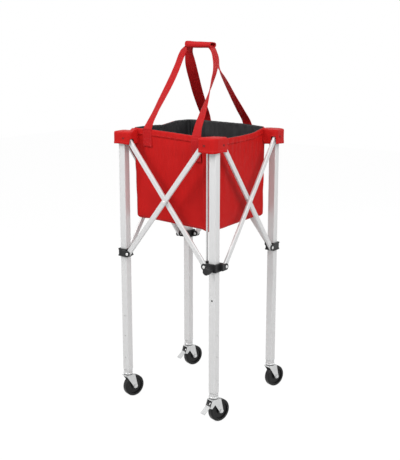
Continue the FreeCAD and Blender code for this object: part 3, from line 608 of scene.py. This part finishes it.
lining = {"gap": 0.0016, "slack": 0.0050, "thick": 0.0009, "sewn": (14, 12), "short": 7,
          "lipRows": 5, "lipOut": 0.0004, "lipUp": 0.0022}
band = {"reach": 5, "proud": 0.0010, "seam": 4, "inside": 0.0002, "crown": 0.0016,
        "shoulders": (0.0011, 0.0013), "step": 0.0004, "backing": (0.0008, 0.0012, 0.0003),
        "footSeam": 9}
proudThread = 0.0001  # how far a line of stitches stands off its cloth
stitchLines = {}
folds = {}  # the body and settings that fold() is given for each set of stitches


def noteStitches(key, line):
    stitchLines.setdefault(key, []).append(np.array(line))


for quarter, corner in enumerate(corners):
    pick = wallColumns(quarter)
    body = f"bag_{corner}"
    setup = (body, (*quarterTurn(1, 0, quarter), 0), (*quarterTurn(bag["half"], -bag["half"], quarter), 0.8))
    lead = wallNormals[:, pick]

    def bagPiece(kind, outer, inner, uv, materials):
        piece = shell(f"bag_{kind}_{corner}", outer, inner, uv, materials)
        fold(piece, *setup)

    uv = flatUv(walls[:, pick])
    bagPiece("wall", wallOut[:, pick], wallIn[:, pick], uv, [finish["cloth"], finish["lining"]])
    # lining, loose inside the wall
    loose = easedEnds(len(walls), *lining["sewn"])
    sway = (0.5 + 0.5 * smoothGrain(walls * (1, 1, 0.45), 75, 21 + quarter))[:, pick] * lining["slack"]
    lip = np.clip(1 - np.arange(len(walls)) / lining["lipRows"], 0, 1)[:, None]
    inset = lining["gap"] + loose * sway - lip * lining["lipOut"]
    near = wallIn[:, pick] - lead * inset[..., None]
    near = near + np.array([0, 0, lining["lipUp"]]) * lip[..., None]
    far = near - lead * lining["thick"]
    long = len(walls) - lining["short"]
    bagPiece("lining", near[:long], far[:long], uv[:long], [finish["lining"]] * 2)
    # binding folded over the rim
    reach = band["reach"]
    out = wallOut[:reach, pick] + lead[:reach] * band["proud"]
    back = wallIn[:reach, pick] - lead[:reach] * band["inside"]
    top = walls[0, pick] + np.array([0, 0, band["crown"]])
    profile = [back[2], back[0], top - lead[0] * band["shoulders"][0], top,
               top + lead[0] * band["shoulders"][1], out[0] + (0, 0, band["step"])]
    profile = np.array(profile + [out[k] for k in range(1, reach)])
    under = profile.copy()
    under[:2] = back[[2, 0]] + lead[:1] * band["backing"][0]
    under[2:5] = top - (0, 0, band["backing"][1])
    under[5:] = wallOut[:reach, pick] - lead[:reach] * band["backing"][2]
    bagPiece("binding", profile, under, flatUv(profile), [finish["cloth"]] * 2)
    noteStitches(("rim", corner), out[band["seam"] - 1] + lead[0] * proudThread)
    noteStitches(("rim", corner), wallOut[-band["footSeam"], pick] + lead[-band["footSeam"]] * proudThread)
    folds[("rim", corner)] = setup

floorOut = base + baseNormals * bag["cloth"] / 2
floorIn = base - baseNormals * bag["cloth"] / 2


def cutCell(piece, lows, highs):  # keeps the part of a piece inside a cell
    def cut(work):
        for axis in (0, 1):
            way = Vector((1 - axis, axis, 0))
            for level, side in ((lows[axis], -1), (highs[axis], 1)):
                if abs(level) > bag["half"]:
                    continue
                parts = work.verts[:] + work.edges[:] + work.faces[:]
                found = bmesh.ops.bisect_plane(work, geom=parts, plane_co=way * level,
                                               plane_no=way * side, clear_outer=True)
                edges = [e for e in found["geom_cut"] if isinstance(e, bmesh.types.BMEdge)]
                bmesh.ops.holes_fill(work, edges=edges)

    rework(piece, cut)


# The base in cells that each stay inside the folded bag: body, low and high corner, the way to
# flatten and the side of the bag to flatten to
far, edge, core = 1.0, fullSlide - bag["half"], bag["half"] - fullSlide / 2
baseCells = {"front": ("bag_front", (-far, -far), (far, -edge), (1, 0), 1),
             "back": ("bag_right", (-far, edge), (far, far), (1, 0), 1),
             "left": ("bag_left", (-far, -edge), (-edge, edge), (0, 1), -1),
             "right": ("bag_front", (edge, -edge), (far, edge), (0, 1), -1),
             "middle": ("bag_centre", (-core, -edge), (core, edge), (0, 1), 0),
             "east": ("bag_centre", (core, -core), (edge, core), (1, 0), 0),
             "west": ("bag_centre", (-edge, -core), (-core, core), (1, 0), 0)}
for n, (x, y) in enumerate(((1, -1), (1, 1), (-1, 1), (-1, -1))):
    ends = [sorted((s * core, s * edge)) for s in (x, y)]
    baseCells[f"inner_{corners[n]}"] = ("bag_centre", *zip(*ends), (x, y), 0)
for name, (body, lows, highs, way, side) in baseCells.items():
    part = shell(f"bag_base_{name}", floorOut[::-1], floorIn[::-1], flatUv(base)[::-1],
                 [finish["lining"], finish["cloth"]])
    cutCell(part, lows, highs)
    level = side * bag["half"]
    fold(part, body, (*way, 0), (way[0] * level, way[1] * level, bag["bottom"]))
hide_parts("bag_base")
print("walls, lining and base made")


# Pockets that sit on the leg tops

pocket = {"out": 0.0315, "side": 0.0212, "in": 0.0420, "cornerRound": 0.018, "endRound": 0.010,
          "top": 0.9290, "edge": 0.0062, "cloth": 0.0020, "columns": 132, "wallRows": 16,
          "hemProud": 0.0007, "hemRows": 4, "sewnShare": 0.80, "dip": 0.0028, "off": 0.0215,
          "bagGap": 0.0012, "underRim": 0.0035, "rise": (0.0235, 0.0105), "leastRow": 0.0004,
          "slotTop": 0.9060, "slots": ((-0.0205, 0.0070, 0.004), (0.0100, 0.0070, 0.004)),
          "flap": 0.8945, "flapOff": 0.0515, "flapSpan": (-0.012, 0.0195, 0.006),
          "foot": (0.8830, 0.8805, 0.8825, 0.8885), "tack": 0.017, "tackRow": 18,
          "tackProud": 0.0002, "folds": (0.0007, 0.0006),
          "topRings": (0.0, 0.12, 0.25, 0.38, 0.5, 0.62, 0.72, 0.81, 0.88, 0.94),
          "edgeRings": ((0.965, 0.0), (0.985, 0.0014), (0.996, 0.0036), (1.0, 0.0062))}


def arc(centre, radius, first, steps):  # a quarter circle, anticlockwise
    a = first + math.pi / 2 * np.arange(steps + 1) / steps
    return list(np.array(centre) + radius * np.stack([np.cos(a), np.sin(a)], 1))


def pocketOutline(count, corner):
    o, s, i = pocket["out"], pocket["side"], pocket["in"]
    inset, radius = pocket["bagGap"], bag["rimRound"][corner]
    edge = [[-0.09, pocket["off"] - inset]]  # along the bag's outside, by its corner
    edge += arc((-pocket["off"] - radius, pocket["off"] + radius), radius + inset, -math.pi / 2, 12)
    edge = np.array(edge + [[-pocket["off"] + inset, 0.09]])
    small, large = pocket["endRound"], pocket["cornerRound"]
    line = [[-i, np.interp(-i, edge[:, 0], edge[:, 1])]]
    line += arc((small - i, small - o), small, math.pi, 8)
    line += arc((s - large, large - o), large, -math.pi / 2, 8)
    line += arc((s - small, i - small), small, 0, 8)
    line.append([np.interp(i, edge[:, 1], edge[:, 0]), i])
    line += [p for p in edge[::-1] if -i < p[0] and p[1] < i]
    line = np.array(line + [line[0]])
    reach = lengths(line)
    spots = np.linspace(0, reach[-1], count + 1)[:-1]
    return np.stack([np.interp(spots, reach, line[:, k]) for k in (0, 1)], 1)


def bell(value, middle, half, soft):
    return float(np.clip((half + soft - abs(value - middle)) / soft, 0, 1))


def hemLevel(x, y, foot):  # lifted where a brace comes out
    lift = 0.0
    if x < -pocket["in"] + 0.003:
        lift = bell(y, *pocket["slots"][0])
    if y > pocket["in"] - 0.003:
        lift = bell(x, *pocket["slots"][1])
    toward = (x - y) / math.sqrt(2) + pocket["flapOff"]  # a shorter flap hangs by the bag's corner
    level = foot + 0.0009 * math.sin(70 * (x + y))
    level += (pocket["flap"] - level) * bell(toward, *pocket["flapSpan"])
    return level + (pocket["slotTop"] - level) * lift


def pocketGrid(corner, seed):
    outline = pocketOutline(pocket["columns"], corner)
    rim = bag["rim"][corner][-1] - pocket["underRim"]

    def topLevel(x, y, m):
        ease = easeOver(((y - x) / math.sqrt(2) - pocket["rise"][0]) / pocket["rise"][1])
        level = pocket["top"] - pocket["dip"] * m**3
        return level + (rim - level) * ease

    rings = [[(x * m, y * m, topLevel(x * m, y * m, m)) for x, y in outline] for m in pocket["topRings"]]
    rings += [[(x * m, y * m, topLevel(x, y, 1) - fall) for x, y in outline]
              for m, fall in pocket["edgeRings"]]
    levels = [hemLevel(x, y, pocket["foot"][corner]) for x, y in outline]
    for k in range(1, pocket["wallRows"] + 1):
        ring = []
        for (x, y), low in zip(outline, levels):
            start = topLevel(x, y, 1) - pocket["edge"]
            down = start + (low - start) * (k / pocket["wallRows"])
            ring.append((x, y, min(down, start - pocket["leastRow"] * k)))
        rings.append(ring)
    grid = np.array(rings)
    normal = gridNormals(grid, True)
    normal[0] = (0, 0, 1)
    creases = smoothGrain(grid * (1, 1, 0.35), 130, seed) * pocket["folds"][0]
    creases = creases + smoothGrain(grid, 70, seed + 9) * pocket["folds"][1]
    weight = np.clip(np.arange(len(grid)) / 8, 0, 1)[:, None]
    return grid + normal * (np.abs(creases) * weight)[..., None], normal


def bartack(surface, ways, row, column):  # a dense little block of stitches
    lift = ways[row, column] * pocket["tackProud"]
    return [surface[row + (n % 2) * 3, column + n // 3] + lift for n in range(15)]


for quarter, corner in enumerate(corners):
    grid, normal = pocketGrid(quarter, 40 + quarter)
    hem = np.zeros(len(grid))
    hem[-pocket["hemRows"]:] = pocket["hemProud"]
    outer = grid + normal * (pocket["cloth"] / 2 + hem[:, None, None])
    inner = grid - normal * pocket["cloth"] / 2
    outer[0], inner[0] = outer[0].mean(0), inner[0].mean(0)
    turn = np.array(Matrix.Rotation(quarter * math.pi / 2, 3, "Z"))
    middle = np.array([*quarterTurn(legHalf, -legHalf, quarter), 0])
    outer, inner, ways = outer @ turn.T + middle, inner @ turn.T + middle, normal @ turn.T
    cap = shell(f"pocket_{corner}", outer, inner, flatUv(grid), [finish["cloth"], finish["lining"]],
                around=True, poles=True)
    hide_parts(f"bag_corner_{corner}")
    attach(cap, f"bag_{corner}")
    line = outer[-pocket["hemRows"]] + ways[-pocket["hemRows"]] * proudThread
    noteStitches(("pocket", corner), line[:int(pocket["columns"] * pocket["sewnShare"])])
    for x, y in ((-pocket["tack"], -pocket["out"]), (pocket["side"], pocket["tack"])):
        column = int(np.argmin(np.hypot(grid[-1, :, 0] - x, grid[-1, :, 1] - y)))
        noteStitches(("tack", corner), bartack(outer, ways, pocket["tackRow"], column - 2))
print("pockets made")


# Straps: sewn tails on the walls, risers and the wrapped grip

strap = {"half": 0.0180, "thick": 0.0013, "tail": (0.056, 0.078), "keep": 0.06, "tailKeep": 0.5,
         "tailRows": 16, "riserRows": 64, "off": 0.0008, "tuck": 0.0006, "seamInset": 0.0032,
         "seamRows": (1, 13), "box": (0.35, 0.56), "around": 28}
grip = {"level": 1.2050, "middle": 0.0010, "half": 0.0500, "wide": 0.0178, "tall": 0.0094,
        "thick": 0.0019, "lap": 0.0015, "taper": 0.11, "tilt": 0.0014, "sag": 0.0008,
        "rows": 49, "columns": 64, "lapAt": 0.62, "box": (0.60, 0.80), "ends": 0.05, "dent": 0.0006}
# foot on the wall, then the way up: x, y, z, turn of the width from X towards Y, half width share
risers = {
    "front_right": (
        (0.098, -0.1612, 0.921, 0, 1), (0.0965, -0.153, 0.944, -13, 1), (0.0905, -0.12, 0.987, -23, 1),
        (0.084, -0.08, 1.04, -46, 1), (0.0775, -0.046, 1.087, -67, 0.98),
        (0.0725, -0.021, 1.124, -76, 0.95), (0.067, -0.009, 1.152, -86, 0.92),
        (0.06, -0.005, 1.177, -90, 0.9), (0.049, -0.002, 1.1955, -90, 0.88),
        (0.034, 0, 1.205, -90, 0.86)),
    "back_right": (
        (0.087, 0.1612, 0.933, 0, 1), (0.0855, 0.153, 0.95, -4, 1), (0.0815, 0.122, 0.988, -10, 1),
        (0.0745, 0.08, 1.042, -24, 1), (0.0685, 0.048, 1.087, -33, 0.98),
        (0.065, 0.032, 1.11, -42, 0.96), (0.0625, 0.018, 1.132, -64, 0.95),
        (0.06, 0.008, 1.154, -86, 0.92), (0.0555, 0.004, 1.175, -90, 0.9),
        (0.046, 0.002, 1.1915, -90, 0.88), (0.032, 0, 1.2015, -90, 0.86)),
    "front_left": (
        (-0.0965, -0.1612, 0.935, 0, 1), (-0.0955, -0.153, 0.95, -12, 1),
        (-0.0926, -0.124, 0.989, -24, 1), (-0.086, -0.094, 1.033, -19, 1),
        (-0.079, -0.066, 1.075, -15, 1), (-0.074, -0.038, 1.118, -15, 0.98),
        (-0.072, -0.019, 1.149, -17, 0.97), (-0.069, -0.01, 1.169, -15, 0.96),
        (-0.062, -0.006, 1.184, -17, 0.95), (-0.05, -0.002, 1.1975, -34, 0.92),
        (-0.034, 0, 1.205, -84, 0.88)),
    "back_left": (
        (-0.084, 0.1612, 0.942, 0, 1), (-0.083, 0.153, 0.958, 8, 1), (-0.0765, 0.122, 0.996, 22, 1),
        (-0.0675, 0.08, 1.05, 34, 1), (-0.0585, 0.048, 1.094, 42, 1), (-0.0515, 0.022, 1.132, 50, 1),
        (-0.0485, 0.009, 1.158, 62, 0.96), (-0.0475, 0.004, 1.177, 76, 0.9),
        (-0.042, 0.002, 1.193, 88, 0.86), (-0.031, 0, 1.2015, 90, 0.86))}


def wallSpot(quarter, x, z):  # where a wall's outside is, by place and height
    pick = wallColumns(quarter)
    points = wallOut[:, pick].reshape(-1, 3)
    ways = wallNormals[:, pick].reshape(-1, 3)
    gap = np.hypot(points[:, 0] - x, points[:, 2] - z)
    near = np.argsort(gap)[:4]
    weight = 1 / (gap[near] + 1e-4)
    weight /= weight.sum()
    return weight @ points[near], unit(weight @ ways[near])


def wallFold(x, front):  # where a wall's point stands once folded
    fixed = bag["half"] if front else -bag["half"]
    return fixed + (x - fixed) * shutKeep


def sweep(name, path, wide, thick, half):  # a webbing band, a rounded box in section
    count = strap["around"]
    a = 2 * math.pi * np.arange(count) / count
    x = squared(np.cos(a), strap["box"][0]) * np.array(half)[:, None]
    y = squared(np.sin(a), strap["box"][1]) * strap["thick"]
    rings = np.array(path)[:, None] + np.array(wide)[:, None] * x[..., None]
    rings = rings + np.array(thick)[:, None] * y[:, None]
    uv = np.stack([x, lengths(path)[:, None] + 0 * x], -1)
    end = len(path) - 1
    spots = [[ring[0], *ring[:0:-1]] for ring in cells(end, count)]
    spots += [[(0, c) for c in range(count)][::-1], [(end, c) for c in range(count)]]
    faces = [[r * count + c % count for r, c in ring] for ring in spots]
    uvs = [[tuple(uv[r, c % count]) for r, c in ring] for ring in spots]
    piece = makeMesh(name, rings.reshape(-1, 3), faces, uvs, [0] * len(faces), [finish["webbing"]])
    rework(piece, lambda work: bmesh.ops.recalc_face_normals(work, faces=work.faces))
    return piece


def tail(name, x, top):
    front = name.startswith("front")
    path, thick = [], []
    for z in np.linspace(top - strap["tail"]["right" in name], top + 0.001, strap["tailRows"]):
        spot, way = wallSpot(0 if front else 2, x, z)
        path.append(spot + way * (strap["thick"] + strap["off"]))
        thick.append(way)
    path[0] = path[0] - thick[0] * strap["tuck"]
    count = len(path)
    wide = [np.array([1.0, 0.0, 0.0])] * count
    piece = sweep(f"strap_tail_{name}", path, wide, thick, [strap["half"]] * count)
    keep = strap["tailKeep"]
    place = (wallFold(x, front) - keep * x) / (1 - keep)
    setup = ("bag_front" if front else "bag_back", (1, 0, 0), (place, 0, 0.9), keep)
    fold(piece, *setup)
    folds[("tail", name)] = setup
    half = strap["half"] - strap["seamInset"]
    low, high = strap["seamRows"]
    middle = (low + high) // 2

    def dot(share, k):
        return path[k] + wide[k] * share * half + thick[k] * (strap["thick"] + proudThread)

    seams = [[dot(share, k) for k in range(low, high + 1)] for share in (-1, 1)]
    seams += [[dot(share, k) for share in np.linspace(-1, 1, 9)] for k in (low, middle, high)]
    seams += [[dot(flip * (2 * (k - low) / (middle - low) - 1), k) for k in range(low, middle + 1)]
              for flip in (-1, 1)]
    for seam in seams:
        noteStitches(("tail", name), seam)


for name, knots in risers.items():
    front = name.startswith("front")
    x, y = knots[0][:2]
    tail(name, x, knots[0][2] + 0.002)
    data = smoothPath(knots, strap["riserRows"])
    ahead, angle = unit(np.gradient(data[:, :3], axis=0)), np.radians(data[:, 3])
    wide = np.stack([np.cos(angle), np.sin(angle), 0 * angle], 1)
    wide = unit(wide - ahead * (wide * ahead).sum(1)[:, None])
    piece = sweep(f"strap_riser_{name}", data[:, :3], wide, np.cross(ahead, wide),
                  strap["half"] * data[:, 4])
    slide = fullSlide / 2 if front else -fullSlide / 2
    shift = (x - wallFold(x, front) + slide, -slide)
    length = math.hypot(*shift)
    way = Vector((shift[0] / length, shift[1] / length, 0))
    anchor = way * (x * way.x + y * way.y - length / (1 - strap["keep"]))
    fold(piece, "bag_centre", way, anchor, strap["keep"])
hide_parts("strap_front")
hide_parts("strap_back")

rows, columns = grip["rows"], grip["columns"]
share = np.linspace(-1, 1, rows)[:, None]
a = -2 * math.pi * np.arange(columns) / columns - math.pi * grip["lapAt"]
swell = 1 - grip["ends"] * np.abs(share) ** 8


def wrapSheet(wall, lap):
    y = squared(np.cos(a), grip["box"][0]) * (grip["wide"] * swell - wall)
    tall = grip["tall"] * (1 - grip["taper"] * share)
    z = squared(np.sin(a), grip["box"][1]) * (tall * swell - wall)
    push = 1 + lap / np.hypot(y, z)
    sag = grip["sag"] * np.cos(share * math.pi / 2) + grip["tilt"] * share
    x = grip["middle"] + share * grip["half"] + 0 * a
    return np.stack([x, y * push, grip["level"] + z * push - sag], -1)


wrapOut = wrapSheet(0, grip["lap"] * (1 - np.arange(columns) / (columns - 1)))
wrapIn = wrapSheet(grip["thick"], 0)
dent = smoothGrain(wrapOut, 130, 5) * grip["dent"]
away = wrapOut - (0, 0, grip["level"])
away[..., 0] = 0
away = unit(away)
wrapOut = wrapOut + away * dent[..., None]
wrapIn = wrapIn + away * np.minimum(dent, 0)[..., None]
wrap = shell("grip_wrap_cloth", wrapOut, wrapIn, flatUv(wrapOut)[..., ::-1], [finish["webbing"]] * 2,
             around=True)
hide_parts("grip_wrap")
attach(wrap, "bag_centre")
seamLine = wrapOut + away * proudThread
for r in (3, rows - 4):
    noteStitches(("grip", "centre"), seamLine[r, 1:])
noteStitches(("grip", "centre"), seamLine[3:-3, 2])
print("straps and grip made")


# Stitches, set along noted lines by Geometry Nodes

stitch = {"Pitch": 0.0036, "Length": 0.0027, "Thickness": 0.00075, "Seed": 11}
beadShape = {"Segments": 6, "Rings": 5, "Radius": 0.5}
beadSize = {"Min_001": 0.88, "Max_001": 1.10}


def stitchTree():
    tree = bpy.data.node_groups.new("stitchRow", "GeometryNodeTree")
    for name, kind in (("Geometry", "Geometry"), ("Pitch", "Float"), ("Length", "Float"),
                       ("Thickness", "Float"), ("Seed", "Int"), ("Thread", "Material")):
        tree.interface.new_socket(name, in_out="INPUT", socket_type="NodeSocket" + kind)
    tree.interface.new_socket("Geometry", in_out="OUTPUT", socket_type="NodeSocketGeometry")
    graph = Graph(tree)
    given = {s.name: Wire(graph, s) for s in tree.nodes.new("NodeGroupInput").outputs}
    line = graph.node("GeometryNodeMeshToCurve", {}, {"Mesh": given["Geometry"]})
    spaced = graph.node("GeometryNodeResampleCurve", {"mode": "LENGTH"},
                        {"Curve": line, "Length": given["Pitch"]})
    bead = graph.node("GeometryNodeMeshUVSphere", {}, beadShape)
    tangent = graph.node("GeometryNodeInputTangent")
    turn = graph.node("FunctionNodeAlignRotationToVector", {"axis": "Z"}, {"Vector": tangent})
    size = graph.node("ShaderNodeCombineXYZ", {},
                      {0: given["Thickness"], 1: given["Thickness"], 2: given["Length"]})
    vary = graph.node("FunctionNodeRandomValue", {"data_type": "FLOAT"},
                      {**beadSize, "Seed": given["Seed"]}, "Value_001")
    scaled = graph.node("ShaderNodeVectorMath", {"operation": "SCALE"}, {0: size, "Scale": vary})
    placed = graph.node("GeometryNodeInstanceOnPoints", {},
                        {"Points": spaced, "Instance": bead, "Rotation": turn, "Scale": scaled})
    real = graph.node("GeometryNodeRealizeInstances", {}, {0: placed})
    coat = graph.node("GeometryNodeSetMaterial", {}, {"Geometry": real, "Material": given["Thread"]})
    graph.join(tree.nodes.new("NodeGroupOutput").inputs[0], coat)
    return tree


stitchRow = stitchTree()
socketOf = {s.name: s.identifier for s in stitchRow.interface.items_tree
            if s.item_type == "SOCKET" and s.in_out == "INPUT"}


def sew(name, lines, material):
    points, edges = [], []
    for line in lines:
        edges += [(len(points) + n, len(points) + n + 1) for n in range(len(line) - 1)]
        points += list(line)
    mesh = bpy.data.meshes.new(name)
    mesh.from_pydata(points, edges, [])
    guide = stand(name + "_guide", mesh)
    sewing = guide.modifiers.new("sew", "NODES")
    sewing.node_group = stitchRow
    for key, value in {**stitch, "Thread": material}.items():
        sewing[socketOf[key]] = value
    guide.update_tag()
    graph = bpy.context.evaluated_depsgraph_get()
    made = bpy.data.meshes.new_from_object(guide.evaluated_get(graph), depsgraph=graph)
    bpy.data.objects.remove(guide)
    made.name = name
    made.shade_smooth()
    return stand(name, made)


for (kind, key), lines in stitchLines.items():
    piece = sew(f"stitches_{kind}_{key}", lines, finish["darkThread" if kind == "tack" else "thread"])
    if (kind, key) in folds:
        fold(piece, *folds[(kind, key)])
    else:
        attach(piece, "bag_centre" if kind == "grip" else f"bag_{key}")
print("stitched:", len(stitchLines), "sets of rows")


# Floor, light and camera

studio = {"floor": 14.0, "white": 0.60, "sky": 0.42, "glow": 1.08, "clear": 0.88,
          "key": ((-1.25, -2.05, 2.75), 1.6, 66), "fill": ((2.2, -0.95, 2.3), 1.8, 54),
          "back": ((0.6, 2.8, 2.4), 2.0, 16), "lit": (0, 0, 0.7)}  # lamps: place, width, power
view = {"azimuth": 35.05, "elevation": 12.35, "distance": 2.876, "lens": 65.97, "film": 36,
        "aim": (0.0, -0.001, 0.587)}


def seenWhite(graph):  # 1 to the camera and in reflections, 0 for light
    rays = graph.tree.nodes.new("ShaderNodeLightPath").outputs
    seen = Wire(graph, rays["Is Camera Ray"])
    for name in ("Is Glossy Ray", "Is Transmission Ray"):
        seen = seen.apply("MAXIMUM", seen, Wire(graph, rays[name]))
    return seen


def facing(way):
    return way.to_track_quat("-Z", "Y").to_euler()


world = bpy.data.worlds.new("softStudio")
bpy.context.scene.world = world
world.use_nodes = True
graph = Graph(world.node_tree)
sky = graph.tree.nodes["Background"]
sky.inputs["Color"].default_value = (1, 1, 1, 1)
graph.join(sky.inputs["Strength"], graph.node("ShaderNodeMapRange", {}, {
    "Value": seenWhite(graph), "To Min": studio["sky"], "To Max": 1.0}))

bpy.ops.mesh.primitive_plane_add(size=studio["floor"], location=(0, 0, 0))
ground = bpy.context.object
ground.name = "paleFloor"
pale = Paint("paleFloor", (studio["white"],) * 3)
pale.set(baseColor=(studio["white"],) * 3 + (1,), roughness=0.9)
glow = pale.node("ShaderNodeEmission", {}, {"Strength": studio["glow"]})
shown = pale.node("ShaderNodeMixShader", {}, {
    0: seenWhite(pale) * studio["clear"], 1: Wire(pale, pale.shader.outputs[0]), 2: glow})
pale.join(pale.tree.nodes["Material Output"].inputs["Surface"], shown)
ground.data.materials.append(pale.material)

for name in ("key", "fill", "back"):
    place, width, power = studio[name]
    lamp = bpy.data.lights.new(name + "Light", "AREA")
    lamp.size, lamp.energy = width, power
    holder = stand(name + "Light", lamp)
    holder.location = place
    holder.rotation_euler = facing(Vector(studio["lit"]) - Vector(place))

a, e = math.radians(view["azimuth"]), math.radians(view["elevation"])
back = Vector((math.sin(a) * math.cos(e), -math.cos(a) * math.cos(e), math.sin(e)))
lens = bpy.data.cameras.new("camera")
lens.lens, lens.sensor_width = view["lens"], view["film"]
eye = stand("camera", lens)
eye.location = Vector(view["aim"]) + back * view["distance"]
eye.rotation_euler = facing(-back)
bpy.context.scene.camera = eye
bpy.context.scene.view_settings.view_transform = "Standard"
print("studio ready")
